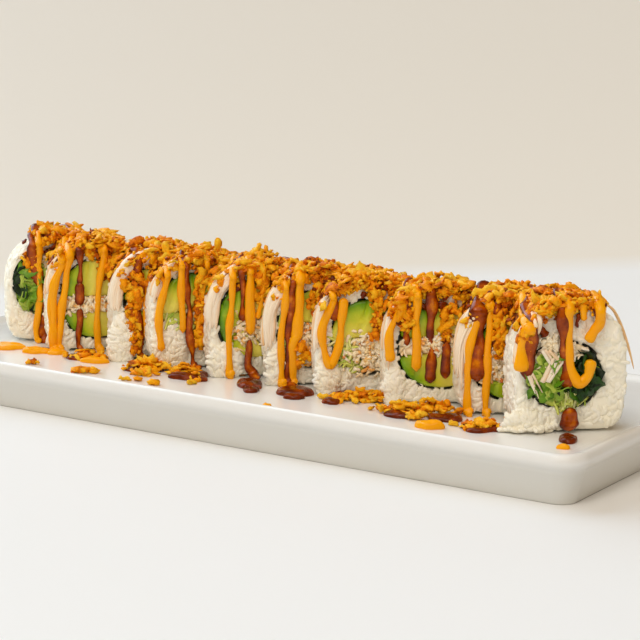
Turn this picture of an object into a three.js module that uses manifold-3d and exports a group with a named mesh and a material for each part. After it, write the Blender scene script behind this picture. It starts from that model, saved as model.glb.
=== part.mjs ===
// A sushi roll on its plate. An inside-out roll is cut into ten slices, which stand fanned in a row on a long
// white plate. Rice lies round a ring of nori, with avocado, crab, cucumber and lettuce inside it. A heap of
// fried crisps covers the tops, and thick strands of mayonnaise and dark sauce hang down over the cut faces.
// Millimetres, +Z up. The row runs along X and the cut faces look towards -Y and +X.

import * as THREE from 'three';
import { mergeVertices } from 'three/addons/utils/BufferGeometryUtils.js';
import Module from 'manifold-3d';

const wasm = await Module();
wasm.setup();

// Driving dimensions of the plate: a lip over a wall that runs in to a foot, and a floor just below the rim.
const PLATE_LENGTH = 352;
const PLATE_WIDTH = 162;
const RIM_HEIGHT = 21;
const FLOOR_HEIGHT = 19;
const LIP_HEIGHT = 6.4;
const RIM_CORNER = 12;
const LIP_WIDTH = 4.4;
const FLOOR_INSET = 10;
const WALL_INSET = 1.6;
const FOOT_INSET = 5.8;
const FOOT_WIDTH = 9;
const FOOT_RECESS = 3;
const FOOT_ROUND = 0.8;
const CORNER_STEPS = 3;

// Driving dimensions of the roll.
const GAP = 0.35;
const SLICE_WIDTH = 46;
const SLICE_HEIGHT = 47.5;
const SLICE_SQUARENESS = 2.6;
const RING_SQUARENESS = 2.25;
const NORI_THICKNESS = 1;
const RICE_BUMP = 0.9;
const RICE_EDGE = 1.3;
const FILLING_DOME = 0.4;
const FILLING_EDGE = 0.3;
const LEAF_THICKNESS = 1.5;
const LEAF_WAVE = 0.35;
const LEAF_FOLDS = 5;
const LEAF_MARGIN = 2.8;

// The outlines of slices and rings have this many points; the flat foot takes this share of them each side.
const SIDES = 20;
const FOOT_SHARE = 0.07;

// Driving dimensions of the heap of crisps: it spreads over so many outline points each side of the top,
// reaches past the cut faces, and hangs down over the front one as a curtain.
const HEAP_DEPTH = 4.2;
const HEAP_POINTS = 3;
const HEAP_REACH = 3.6;
const HEAP_CURTAIN = 7;
const CRISPS_A_SLICE = 4;
const CRISP_LENGTH = 12;
const CRISP_WIDTH = 5;
const CRISP_THICKNESS = 1.8;
const CRISP_BEND = 1.6;

// Driving dimensions of what hangs down: radii, how flat the sections are, the ends' share of the radius.
const MAYO_RADIUS = 1.9;
const MAYO_FLATNESS = 0.85;
const SAUCE_RADIUS = 1.4;
const SAUCE_FLATNESS = 0.8;
const STRIP_RADIUS = 2.4;
const STRIP_FLATNESS = 0.4;
const STRAND_SIDES = 4;
const STRAND_TAPER = 0.8;
const STRAND_PLAY = 0.05;

// Driving dimensions of what lies on the plate.
const PUDDLE_SIDES = 8;
const PUDDLE_HEIGHT = 0.9;
const PUDDLE_ROOT = 0.8;
const FALLEN_LIFT = 0.8;

// The slices from left to right: the middle of each cut face on the plate, its turn in degrees, its thickness,
// its nori ring (middle across and up, half width, half height), the heights from the ring's middle where the
// upper and the lower filling end with their tilts in degrees, and what the fillings are.
const SLICES = [
  { x: -121, y: -18.5, turn: 44, thick: 21, ring: [-1.5, 27.5, 19, 16], upper: 1, upperTilt: -50, lower: -8,
    lowerTilt: -20, fillings: ['crab', 'lettuce', null] },
  { x: -93, y: -24, turn: 44, thick: 21, ring: [0.5, 24, 18.5, 19], upper: 1, upperTilt: 0, lower: -5,
    lowerTilt: 2, fillings: ['avocado', 'crab', 'avocado'] },
  { x: -57.5, y: -21.5, turn: 47, thick: 19, ring: [-1.5, 27, 18, 16.5], upper: 3, upperTilt: 12, lower: -6,
    lowerTilt: -8, fillings: ['avocado', 'crab', 'avocado'] },
  { x: -34, y: -25, turn: 47, thick: 18, ring: [-2.5, 28.5, 17.5, 15], upper: -1, upperTilt: 14, lower: -7,
    lowerTilt: -30, fillings: ['avocado', 'crab', 'cucumber'] },
  { x: -3, y: -24.5, turn: 44, thick: 19.5, ring: [-1.5, 25.5, 18.5, 18], upper: 1, upperTilt: 6, lower: -6,
    lowerTilt: -52, fillings: ['avocado', 'crab', 'avocado'] },
  { x: 26.5, y: -23.5, turn: 42, thick: 18, ring: [-1.5, 25, 18, 17.5], upper: 2, upperTilt: -4, lower: -9,
    lowerTilt: -70, fillings: ['avocado', 'crab', 'cucumber'] },
  { x: 52.5, y: -26, turn: 39, thick: 17, ring: [0, 25, 17, 16.5], upper: 0, upperTilt: 8, lower: -8,
    lowerTilt: -60, fillings: ['avocado', 'crab', 'cucumber'] },
  { x: 85, y: -24, turn: 36.5, thick: 17.5, ring: [0.5, 24.5, 18.5, 18.5], upper: 4, upperTilt: 3, lower: -2,
    lowerTilt: 8, fillings: ['avocado', 'crab', 'avocado'] },
  { x: 119.5, y: -22.5, turn: 36, thick: 18.5, ring: [0, 23.5, 17.5, 18], upper: 4, upperTilt: -10, lower: -9,
    lowerTilt: 4, fillings: ['avocado', 'crab', 'avocado'] },
  { x: 151.5, y: -34.5, turn: 41, thick: 24, ring: [-3.5, 23, 15.5, 14], upper: 4, upperTilt: 30, lower: -9,
    lowerTilt: 5, height: 50.5, fillings: ['crab', 'lettuce', 'cucumber'] },
];

// Strands of mayonnaise over the faces: the slice, then places across and up its face, from the heap down.
const MAYO_STRANDS = [
  [1, [-9, 43], [-8.5, 18], [-10, 6]],
  [2, [-17, 40], [-21, 30], [-21, 3]],
  [2, [-14, 41], [-16.5, 22], [-18, 4]],
  [2, [2, 43], [-0.5, 22], [0, 4]],
  [4, [-17, 40], [-20.5, 26], [-19, 8]],
  [4, [-11, 43], [-9.5, 16]],
  [5, [-14, 41], [-15, 20], [-14.5, 3]],
  [5, [-6.5, 43], [-5.5, 19]],
  [6, [-16, 40], [-17.5, 24], [-17, 2.5]],
  [6, [-10, 43], [-10.5, 28], [-11, 7]],
  [7, [-17, 40], [-21, 26], [-17, 13], [-13.5, 22], [-12, 42]],
  [8, [-17, 40], [-21.5, 30], [-20.5, 18]],
  [8, [-10.5, 43], [-9.5, 14]],
  [9, [-17, 40], [-19.5, 24], [-19, 3]],
  [9, [-11.5, 43], [-11.5, 3.5]],
  [10, [-17, 42], [-20.5, 30], [-19.5, 21]],
  [10, [-4, 45], [-3.5, 26], [1, 20], [5, 24], [6, 31]],
  [10, [12, 43], [6.5, 36]],
];

// Strands of dark sauce, given in the same way.
const SAUCE_STRANDS = [
  [1, [-12, 42], [-11.5, 28], [-11, 17]],
  [2, [-8, 43], [-8, 5]],
  [3, [-12.5, 42], [-12.5, 22], [-13, 4]],
  [4, [-6, 43], [-6, 12]],
  [6, [-13.6, 41], [-14, 20], [-14, 3]],
  [9, [-14.5, 41], [-15.5, 16]],
];

// Pulled strips of crab that lie over the rims, given in the same way.
const CRAB_STRIPS = [
  [3, [-16.5, 40], [-21.5, 33], [-22, 24]],
  [5, [-17, 40], [-20.8, 33], [-21, 22]],
  [6, [-18, 39], [-21, 32], [-21.5, 20]],
  [9, [-18, 39], [-22, 28], [-22, 12]],
  [10, [-18, 40], [-21, 32], [-16, 16]],
];

// Puddles on the plate: place, half length, half width, turn in degrees.
const PUDDLES = [
  [-130, -44, 8, 5, 20],
  [-101, -47, 12, 5, 30],
  [-66, -51, 11, 5, 60],
  [-29, -52, 12, 5, 60],
  [9, -53, 11, 5, 60],
  [31, -50, 10, 5, 60],
  [52, -55, 10, 4, 20],
  [78, -60, 9, 5, 40],
  [107, -63, 13, 6, 30],
  [161, -62, 5, 3, 20],
];

// Crisps that fell on the plate: place and turn in degrees.
const FALLEN_CRISPS = [
  [-96, -64, 10],
  [-73, -66, 30],
  [-64, -60, 20],
  [-44, -57, 60],
  [-40, -67, 15],
  [56, -60, 40],
  [68, -63, 10],
  [84, -66, 70],
  [96, -58, 20],
  [113, -56, 50],
  [124, -60, 10],
  [128, -52, 35],
];

const COLOURS = {
  plate: ['#ebe9e4', 0.25],
  rice: ['#e6ddc4', 0.7],
  nori: ['#14190f', 0.6],
  avocado: ['#b4c022', 0.5],
  crab: ['#ebc8a0', 0.6],
  cucumber: ['#b9cc66', 0.5],
  lettuce: ['#3f7a18', 0.5],
  topping: ['#e09514', 0.55],
};

const group = new THREE.Group();

// Seeded draws from 0 to 1, the same in each run.
let drawState = 20117;
function draw(low = 0, high = 1) {
  drawState = (drawState * 1664525 + 1013904223) % 4294967296;
  return low + (high - low) * drawState / 4294967296;
}

function radians(degrees) {
  return degrees * Math.PI / 180;
}

// Point k of a rounded square of the given half sizes, counted from the right and up over the top.
function squarePoint(k, halfWidth, halfHeight, power) {
  const angle = 2 * Math.PI * k / SIDES;
  const c = Math.cos(angle);
  const s = Math.sin(angle);
  const reach = ((Math.abs(c) / halfWidth) ** power + (Math.abs(s) / halfHeight) ** power) ** (-1 / power);
  return [reach * c, reach * s];
}

// Makes a mesh of vertices and triangles, with its faces turned to point outwards.
function solidGeometry(points, triangles) {
  let volume = 0;
  for (const [a, b, c] of triangles) {
    volume += points[a].dot(points[b].clone().cross(points[c]));
  }
  const index = triangles.flatMap(([a, b, c]) => (volume < 0 ? [a, c, b] : [a, b, c]));
  const geometry = new THREE.BufferGeometry();
  const numbers = points.flatMap((p) => [p.x, p.y, p.z]);
  geometry.setAttribute('position', new THREE.Float32BufferAttribute(numbers, 3));
  geometry.setIndex(index);
  return geometry;
}

// A skin over rings of points. With looped set, the last ring joins the first one, as round a tube's wall.
// Otherwise each end ring is closed by a fan to its middle, which may be pushed out by endBulge along Y.
function skin(rings, looped = false, endBulge = 0) {
  const count = rings[0].length;
  const points = rings.flat();
  const triangles = [];
  const steps = looped ? rings.length : rings.length - 1;
  for (let r = 0; r < steps; r += 1) {
    const here = r * count;
    const next = ((r + 1) % rings.length) * count;
    for (let k = 0; k < count; k += 1) {
      const l = (k + 1) % count;
      triangles.push([here + k, next + k, next + l], [here + k, next + l, here + l]);
    }
  }
  if (!looped) {
    for (const [first, sign] of [[0, 1], [(rings.length - 1) * count, -1]]) {
      const ring = points.slice(first, first + count);
      const middle = ring.reduce((sum, p) => sum.add(p), new THREE.Vector3()).divideScalar(count);
      middle.y -= sign * endBulge;
      points.push(middle);
      for (let k = 0; k < count; k += 1) {
        const l = (k + 1) % count;
        const edge = sign > 0 ? [first + k, first + l] : [first + l, first + k];
        triangles.push([points.length - 1, ...edge]);
      }
    }
  }
  return solidGeometry(points, triangles);
}

function toSolid(geometry) {
  const bare = geometry.clone();
  bare.deleteAttribute('normal');
  bare.deleteAttribute('uv');
  const merged = mergeVertices(bare, 1e-4);
  const mesh = { numProp: 3, vertProperties: merged.attributes.position.array, triVerts: merged.index.array };
  mesh.vertProperties = new Float32Array(mesh.vertProperties);
  mesh.triVerts = new Uint32Array(mesh.triVerts);
  return new wasm.Manifold(new wasm.Mesh(mesh));
}

function toGeometry(solid) {
  const mesh = solid.getMesh();
  const geometry = new THREE.BufferGeometry();
  geometry.setAttribute('position', new THREE.BufferAttribute(new Float32Array(mesh.vertProperties), 3));
  geometry.setIndex(new THREE.BufferAttribute(new Uint32Array(mesh.triVerts), 1));
  return geometry;
}

function material(name) {
  const [color, roughness] = COLOURS[name];
  return new THREE.MeshStandardMaterial({ color, roughness, metalness: 0 });
}

function addMesh(parent, name, geometry, finish) {
  const mesh = new THREE.Mesh(geometry, material(finish));
  mesh.name = name;
  parent.add(mesh);
}

// The frame of a slice: X across its cut face, Y into it, Z up from the plate's floor.
function sliceMatrix(slice) {
  const matrix = new THREE.Matrix4().makeRotationZ(radians(slice.turn));
  return matrix.setPosition(slice.x, slice.y, FLOOR_HEIGHT + GAP);
}

function sliceHalfHeight(slice) {
  return (slice.height ?? SLICE_HEIGHT) / 2;
}

// The outline of a slice at point k, let in by some millimetres.
function outerPoint(slice, k, inset) {
  const half = sliceHalfHeight(slice);
  const [s, z] = squarePoint(k, SLICE_WIDTH / 2 - inset, half - inset, SLICE_SQUARENESS);
  return [s, z + half];
}

// The nori ring of a slice at point k, let in by some millimetres.
function ringPoint(slice, k, inset) {
  const [across, up, halfWidth, halfHeight] = slice.ring;
  const [s, z] = squarePoint(k, halfWidth - inset, halfHeight - inset, RING_SQUARENESS);
  return [s + across, z + up];
}

// The rice: a thick wall round the nori, with bumps of a grain's size that go inwards from its outline.
function riceGeometry(slice) {
  const rings = [];
  for (let k = 0; k < SIDES; k += 1) {
    const foot = Math.abs(k / SIDES - 0.75) < FOOT_SHARE;
    const ring = [];
    const stations = [0, RICE_EDGE, slice.thick / 2, slice.thick - RICE_EDGE, slice.thick];
    for (const y of stations) {
      const bump = foot ? 0 : draw(0, RICE_BUMP);
      const inset = y === 0 || y === slice.thick ? RICE_EDGE : 0;
      const [s, z] = outerPoint(slice, k, inset + bump);
      ring.push(new THREE.Vector3(s, y, z));
    }
    const [innerS, innerZ] = ringPoint(slice, k, -GAP);
    ring.push(new THREE.Vector3(innerS, slice.thick, innerZ));
    ring.push(new THREE.Vector3(innerS, draw(0, RICE_BUMP / 2), innerZ));
    const [edgeS, edgeZ] = outerPoint(slice, k, RICE_EDGE);
    const proud = draw(-RICE_BUMP / 2, RICE_BUMP / 2);
    ring.push(new THREE.Vector3((innerS + edgeS) / 2, proud, (innerZ + edgeZ) / 2));
    rings.push(ring);
  }
  return skin(rings, true);
}

// The nori: a thin closed sleeve.
function noriGeometry(slice) {
  const rings = [];
  for (let k = 0; k < SIDES; k += 1) {
    const ring = [];
    for (const [y, inset] of [[0, 0], [slice.thick, 0], [slice.thick, NORI_THICKNESS], [0, NORI_THICKNESS]]) {
      const [s, z] = ringPoint(slice, k, inset);
      ring.push(new THREE.Vector3(s, y, z));
    }
    rings.push(ring);
  }
  return skin(rings, true);
}

// Keeps the part of a convex outline where across * p.x + up * p.y is at least level.
function clipOutline(outline, across, up, level) {
  const kept = [];
  outline.forEach((p, i) => {
    const q = outline[(i + 1) % outline.length];
    const a = across * p[0] + up * p[1] - level;
    const b = across * q[0] + up * q[1] - level;
    if (a >= 0) {
      kept.push(p);
    }
    if ((a > 0 && b < 0) || (a < 0 && b > 0)) {
      const t = a / (a - b);
      kept.push([p[0] + (q[0] - p[0]) * t, p[1] + (q[1] - p[1]) * t]);
    }
  });
  return kept;
}

// The outlines of the three fillings of a slice, top to bottom, inside its nori.
function fillingOutlines(slice) {
  const inside = [];
  for (let k = 0; k < SIDES; k += 1) {
    inside.push(ringPoint(slice, k, NORI_THICKNESS + GAP));
  }
  const [across, up] = slice.ring;
  const upperTilt = radians(slice.upperTilt);
  const lowerTilt = radians(slice.lowerTilt);
  const u = [-Math.sin(upperTilt), Math.cos(upperTilt)];
  const l = [-Math.sin(lowerTilt), Math.cos(lowerTilt)];
  const upperLevel = slice.upper + u[0] * across + u[1] * up;
  const lowerLevel = slice.lower + l[0] * across + l[1] * up;
  const above = clipOutline(inside, u[0], u[1], upperLevel + GAP / 2);
  const below = clipOutline(inside, -u[0], -u[1], -upperLevel + GAP / 2);
  if (slice.fillings[2] === null) {
    return [above, below, null];
  }
  const middle = clipOutline(below, l[0], l[1], lowerLevel + GAP / 2);
  const bottom = clipOutline(below, -l[0], -l[1], -lowerLevel + GAP / 2);
  return [above, middle, bottom];
}

// A filling that runs through the slice, its cut ends slightly domed.
function fillingGeometry(slice, outline) {
  const stations = [FILLING_EDGE, slice.thick - FILLING_EDGE];
  const rings = stations.map((y) => outline.map(([s, z]) => new THREE.Vector3(s, y, z)));
  return skin(rings, false, FILLING_DOME + FILLING_EDGE);
}

// The inner ends, left and right, of a band of an outline between two heights.
function bandEnds(outline, low, high) {
  const band = clipOutline(clipOutline(outline, 0, 1, low), 0, -1, -high).map((p) => p[0]);
  const middle = band.reduce((sum, s) => sum + s, 0) / band.length;
  return [Math.max(...band.filter((s) => s < middle)), Math.min(...band.filter((s) => s >= middle))];
}

// Lettuce: one leaf folded to and fro between the sides of its outline, thin and wavy along the roll too.
function leafGeometry(slice, outline) {
  const low = Math.min(...outline.map((p) => p[1])) + LEAF_MARGIN;
  const high = Math.max(...outline.map((p) => p[1])) - LEAF_MARGIN;
  const path = [];
  for (let i = 0; i <= LEAF_FOLDS; i += 1) {
    const z = low + (high - low) * i / LEAF_FOLDS;
    const [left, right] = bandEnds(outline, z - LEAF_THICKNESS, z + LEAF_THICKNESS);
    const start = i % 2 === 0 ? left + LEAF_MARGIN : right - LEAF_MARGIN;
    const end = i % 2 === 0 ? right - LEAF_MARGIN : left + LEAF_MARGIN;
    for (const s of [start, (start + end) / 2, end]) {
      path.push([s, z]);
    }
  }
  const stations = [-FILLING_DOME, slice.thick * 0.5, slice.thick - FILLING_DOME];
  const rings = path.map(([s, z], i) => {
    const before = path[Math.max(0, i - 1)];
    const after = path[Math.min(path.length - 1, i + 1)];
    const length = Math.hypot(after[0] - before[0], after[1] - before[1]);
    const normal = [-(after[1] - before[1]) / length, (after[0] - before[0]) / length];
    const ring = [];
    for (const side of [1, -1]) {
      const ordered = side > 0 ? stations : [...stations].reverse();
      for (const y of ordered) {
        const reach = side * LEAF_THICKNESS / 2 + LEAF_WAVE * Math.sin(y * 0.6 + i * 1.3);
        ring.push(new THREE.Vector3(s + normal[0] * reach, y, z + normal[1] * reach));
      }
    }
    return ring;
  });
  return skin(rings);
}

// A rod of the given radii along points, its section flattened along Y, for strands and strips.
function rodGeometry(path, radii, depthRatio) {
  const rings = path.map((p, i) => {
    const before = path[Math.max(0, i - 1)];
    const after = path[Math.min(path.length - 1, i + 1)];
    const along = after.clone().sub(before).normalize();
    const depth = new THREE.Vector3(0, 1, 0);
    depth.addScaledVector(along, -depth.dot(along)).normalize();
    const width = along.clone().cross(depth);
    const ring = [];
    for (let k = 0; k < STRAND_SIDES; k += 1) {
      const angle = 2 * Math.PI * k / STRAND_SIDES;
      const point = p.clone().addScaledVector(width, radii[i] * Math.cos(angle));
      ring.push(point.addScaledVector(depth, radii[i] * depthRatio * Math.sin(angle)));
    }
    return ring;
  });
  return skin(rings);
}

// A strand that starts in the heap and hangs down just clear of the cut face.
function strandGeometry(places, radius, depthRatio) {
  const front = -(radius * depthRatio + frontClearance() + STRAND_PLAY);
  const path = places.map(([across, up]) => new THREE.Vector3(across, front, up));
  const radii = path.map((_, i) => radius * (i === path.length - 1 ? STRAND_TAPER : 1));
  return rodGeometry(path, radii, depthRatio);
}

// A point of the heap on a slice, at point k of its outline, some way into it and some way off its outline.
function heapPoint(slice, k, y, lift) {
  const [s, z] = outerPoint(slice, k, -lift);
  return new THREE.Vector3(s, y, z);
}

// The floor of the heap on one slice: a lumpy blanket over its top, thickest in the middle, that reaches past
// both cut faces and hangs a little way down over the front one.
function blanketGeometry(slice) {
  const top = SIDES / 4;
  const front = -HEAP_REACH;
  const back = slice.thick + HEAP_REACH;
  const clear = GAP * 1.2;
  const proud = -(frontClearance() + STRAND_PLAY * 3);
  const rings = [];
  for (let k = top + HEAP_POINTS; k >= top - HEAP_POINTS; k -= 1) {
    const lift = HEAP_DEPTH * Math.cos((k - top) / (HEAP_POINTS + 0.6) * Math.PI / 2);
    const curtain = -HEAP_CURTAIN * draw(0.7, 1);
    rings.push([
      heapPoint(slice, k, front, clear + lift * draw(0.1, 0.5)),
      heapPoint(slice, k, slice.thick * 0.3, clear + lift * draw(0.7, 1.3)),
      heapPoint(slice, k, slice.thick * 0.7, clear + lift * draw(0.7, 1.3)),
      heapPoint(slice, k, back, clear + lift * draw(0.1, 0.5)),
      heapPoint(slice, k, back, clear),
      heapPoint(slice, k, proud, clear),
      heapPoint(slice, k, proud, curtain),
      heapPoint(slice, k, front * 0.8, curtain),
    ]);
  }
  return skin(rings);
}

// A fried crisp: a short bent strip, lying turned and tipped at its place.
function crispGeometry(place, turn, tip, size) {
  const half = CRISP_LENGTH * size / 2;
  const bend = draw(-CRISP_BEND, CRISP_BEND);
  const rings = [-1, 0, 1].map((t) => {
    const wide = CRISP_WIDTH / 2 * size * (t === 0 ? 1 : draw(0.35, 0.8));
    const thick = CRISP_THICKNESS / 2 * (t === 0 ? 1 : 0.7);
    const x = t * half;
    const z = bend * (1 - Math.abs(t));
    return [[wide, thick], [-wide, thick], [-wide, -thick], [wide, -thick]].map(
      ([y, dz]) => new THREE.Vector3(x, y, z + dz));
  });
  const geometry = skin(rings);
  const roll = draw(-0.5, 0.5);
  const matrix = new THREE.Matrix4().makeRotationFromEuler(new THREE.Euler(roll, tip, turn, 'ZYX'));
  matrix.setPosition(place);
  geometry.applyMatrix4(matrix);
  return geometry;
}

// How far the toppings stay off the plane of a cut face, whose rice and fillings stand a little proud.
function frontClearance() {
  return Math.max(RICE_BUMP / 2, FILLING_DOME) + GAP;
}

// What the toppings must stay clear of: the outer form of a slice, a gap larger all round.
function clearanceGeometry(slice) {
  const rings = [-frontClearance(), slice.thick + frontClearance()].map((y) => {
    const ring = [];
    for (let k = 0; k < SIDES; k += 1) {
      const [s, z] = outerPoint(slice, k, -GAP);
      ring.push(new THREE.Vector3(s, y, z));
    }
    return ring;
  });
  return skin(rings).applyMatrix4(sliceMatrix(slice));
}

// Keeps the largest of the loose bodies of a solid.
function largestBody(solid) {
  return solid.decompose().reduce((best, body) => (body.volume() > best.volume() ? body : best));
}

// The topping: blankets, crisps, strands and strips of all slices joined to one heap, clear of what is under it.
function toppingGeometry(clearance) {
  const pieces = [];
  const add = (geometry, slice) => pieces.push(toSolid(geometry.applyMatrix4(sliceMatrix(slice))));
  for (const slice of SLICES) {
    add(blanketGeometry(slice), slice);
    for (let i = 0; i < CRISPS_A_SLICE; i += 1) {
      const k = SIDES / 4 + HEAP_POINTS * (1 - 2 * (i + draw()) / CRISPS_A_SLICE);
      const place = heapPoint(slice, k, slice.thick * draw(0, 1), HEAP_DEPTH * draw(0.8, 1.1));
      add(crispGeometry(place, draw(0, Math.PI), draw(-0.6, 0.6), draw(0.7, 1.15)), slice);
    }
  }
  const hanging = [
    [MAYO_STRANDS, MAYO_RADIUS, MAYO_FLATNESS],
    [SAUCE_STRANDS, SAUCE_RADIUS, SAUCE_FLATNESS],
    [CRAB_STRIPS, STRIP_RADIUS, STRIP_FLATNESS],
  ];
  for (const [strands, radius, depthRatio] of hanging) {
    for (const [number, ...places] of strands) {
      add(strandGeometry(places, radius, depthRatio), SLICES[number - 1]);
    }
  }
  return toGeometry(largestBody(wasm.Manifold.union(pieces).subtract(clearance)));
}

// A ring of the plate's rounded outline, let in by some millimetres, at a height.
function plateRing(inset, z) {
  const corner = Math.max(2, RIM_CORNER - inset * 0.8);
  const ring = [];
  for (let quarter = 0; quarter < 4; quarter += 1) {
    const right = quarter === 0 || quarter === 3 ? 1 : -1;
    const back = quarter < 2 ? 1 : -1;
    const x = right * (PLATE_LENGTH / 2 - inset - corner);
    const y = back * (PLATE_WIDTH / 2 - inset - corner);
    for (let i = 0; i <= CORNER_STEPS; i += 1) {
      const angle = (quarter + i / CORNER_STEPS) * Math.PI / 2;
      ring.push(new THREE.Vector3(x + corner * Math.cos(angle), y + corner * Math.sin(angle), z));
    }
  }
  return ring;
}

// The plate, with the puddles and the crisps that lie on its floor.
function plateGeometry(clearance) {
  const footInner = FOOT_INSET + FOOT_WIDTH;
  const lipFoot = RIM_HEIGHT - LIP_HEIGHT;
  const profile = [
    [footInner + 1, FOOT_RECESS],
    [footInner, 0],
    [FOOT_INSET, 0],
    [FOOT_INSET - FOOT_ROUND, FOOT_ROUND],
    [WALL_INSET, lipFoot - 0.6],
    [0.3, lipFoot],
    [0, lipFoot + 1.2],
    [0.5, RIM_HEIGHT - 1.4],
    [LIP_WIDTH * 0.36, RIM_HEIGHT - 0.2],
    [LIP_WIDTH * 0.64, RIM_HEIGHT],
    [LIP_WIDTH, RIM_HEIGHT - 0.5],
    [(LIP_WIDTH + FLOOR_INSET) / 2, FLOOR_HEIGHT + 0.3],
    [FLOOR_INSET, FLOOR_HEIGHT],
  ];
  const body = toSolid(skin(profile.map(([inset, z]) => plateRing(inset, z))));
  const bits = [];
  for (const [x, y, halfLength, halfWidth, turn] of PUDDLES) {
    const rings = [[1, -PUDDLE_ROOT], [1, PUDDLE_HEIGHT / 4], [0.7, PUDDLE_HEIGHT]].map(([scale, z]) => {
      const ring = [];
      for (let k = 0; k < PUDDLE_SIDES; k += 1) {
        const angle = 2 * Math.PI * k / PUDDLE_SIDES;
        const wobble = scale * (1 + 0.15 * Math.sin(3 * angle + x));
        const across = halfWidth * wobble * Math.sin(angle);
        ring.push(new THREE.Vector3(halfLength * wobble * Math.cos(angle), across, z));
      }
      return ring;
    });
    const matrix = new THREE.Matrix4().makeRotationZ(radians(turn)).setPosition(x, y, FLOOR_HEIGHT);
    bits.push(toSolid(skin(rings).applyMatrix4(matrix)));
  }
  for (const [x, y, turn] of FALLEN_CRISPS) {
    const place = new THREE.Vector3(x, y, FLOOR_HEIGHT + FALLEN_LIFT);
    bits.push(toSolid(crispGeometry(place, radians(turn), draw(-0.08, 0.08), draw(0.6, 0.9))));
  }
  const lying = wasm.Manifold.union(bits).subtract(clearance);
  return toGeometry(largestBody(body.add(lying)));
}

SLICES.forEach((slice, i) => {
  const number = i + 1;
  const cut = new THREE.Group();
  cut.applyMatrix4(sliceMatrix(slice));
  group.add(cut);
  addMesh(cut, `rice_${number}`, riceGeometry(slice), 'rice');
  addMesh(cut, `nori_${number}`, noriGeometry(slice), 'nori');
  const outlines = fillingOutlines(slice);
  slice.fillings.forEach((filling, level) => {
    if (filling === null) {
      return;
    }
    const twice = slice.fillings.filter((other) => other === filling).length > 1;
    const place = twice ? `_${['upper', 'middle', 'lower'][level]}` : '';
    const name = `${filling}_${number}${place}`;
    const shape = filling === 'lettuce' ? leafGeometry : fillingGeometry;
    addMesh(cut, name, shape(slice, outlines[level]), filling);
  });
});

const clearances = wasm.Manifold.union(SLICES.map((slice) => toSolid(clearanceGeometry(slice))));
addMesh(group, 'plate', plateGeometry(clearances), 'plate');
addMesh(group, 'topping', toppingGeometry(clearances), 'topping');

export default group;
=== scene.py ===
import bpy
import numpy as np
from mathutils import Matrix


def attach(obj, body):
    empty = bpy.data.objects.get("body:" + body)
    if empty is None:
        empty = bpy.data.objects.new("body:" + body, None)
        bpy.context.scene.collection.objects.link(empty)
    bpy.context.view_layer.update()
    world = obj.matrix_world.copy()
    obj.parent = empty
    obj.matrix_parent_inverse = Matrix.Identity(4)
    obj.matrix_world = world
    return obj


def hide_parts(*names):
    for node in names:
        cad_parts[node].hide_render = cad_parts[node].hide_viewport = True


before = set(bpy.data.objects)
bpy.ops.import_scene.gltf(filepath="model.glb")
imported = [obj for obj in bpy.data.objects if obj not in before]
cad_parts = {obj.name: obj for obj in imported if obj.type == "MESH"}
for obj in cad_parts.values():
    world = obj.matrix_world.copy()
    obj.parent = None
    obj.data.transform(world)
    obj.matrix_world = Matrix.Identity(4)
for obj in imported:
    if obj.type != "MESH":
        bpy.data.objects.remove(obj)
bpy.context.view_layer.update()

# The plate: a long platter of white stoneware, pressed in a mould and dipped in a clear white glaze. A round lip
# stands over a wall that runs in to a low foot ring, and the floor lies just below the lip's crest.
MM = 0.001
PLATE_LENGTH = 352
PLATE_WIDTH = 162
RIM_HEIGHT = 21
FLOOR_HEIGHT = 19
LIP_HEIGHT = 6.4
LIP_WIDTH = 4.4
FLOOR_INSET = 10
RIM_CORNER = 12
WALL_INSET = 1.6
FOOT_INSET = 5.8
FOOT_WIDTH = 9
FOOT_RECESS = 3
CORNER_STEPS = 16
PROFILE_STEPS = 6


def smooth_line(points, steps):
    """A curve through points: between two of them a third-power blend, which heads for the next but one."""
    points = np.asarray(points, float)
    ends = points[:1] * 2 - points[1:2], points[-1:] * 2 - points[-2:-1]
    line = np.concatenate([ends[0], points, ends[1]])
    a, b, c, d = line[:-3, None], line[1:-2, None], line[2:-1, None], line[3:, None]
    t = np.linspace(0, 1, steps, endpoint=False)[None, :, None]
    curve = b + t * (c - a) / 2 + t**2 * (a - 2.5 * b + 2 * c - d / 2) + t**3 * (1.5 * (b - c) + (d - a) / 2)
    return np.concatenate([curve.reshape(-1, points.shape[1]), points[-1:]])


def wall_faces(rows, columns, looped=False):
    """Four-sided faces between rows of points, each row closed on itself; with looped set, so are the columns."""
    row = np.arange(rows if looped else rows - 1)[:, None]
    column = np.arange(columns)[None, :]
    row_after = (row + 1) % rows
    column_after = (column + 1) % columns
    corners = [row * columns + column, row * columns + column_after,
               row_after * columns + column_after, row_after * columns + column]
    return np.stack(corners, -1).reshape(-1, 4)


def fan_faces(first, count, pole, forward):
    """Triangles from a pole to the points of a ring, which start at first, in their order or against it."""
    k = np.arange(count)
    after = (k + 1) % count
    pair = (k, after) if forward else (after, k)
    return np.stack([np.full(count, pole), first + pair[0], first + pair[1]], -1)


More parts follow.
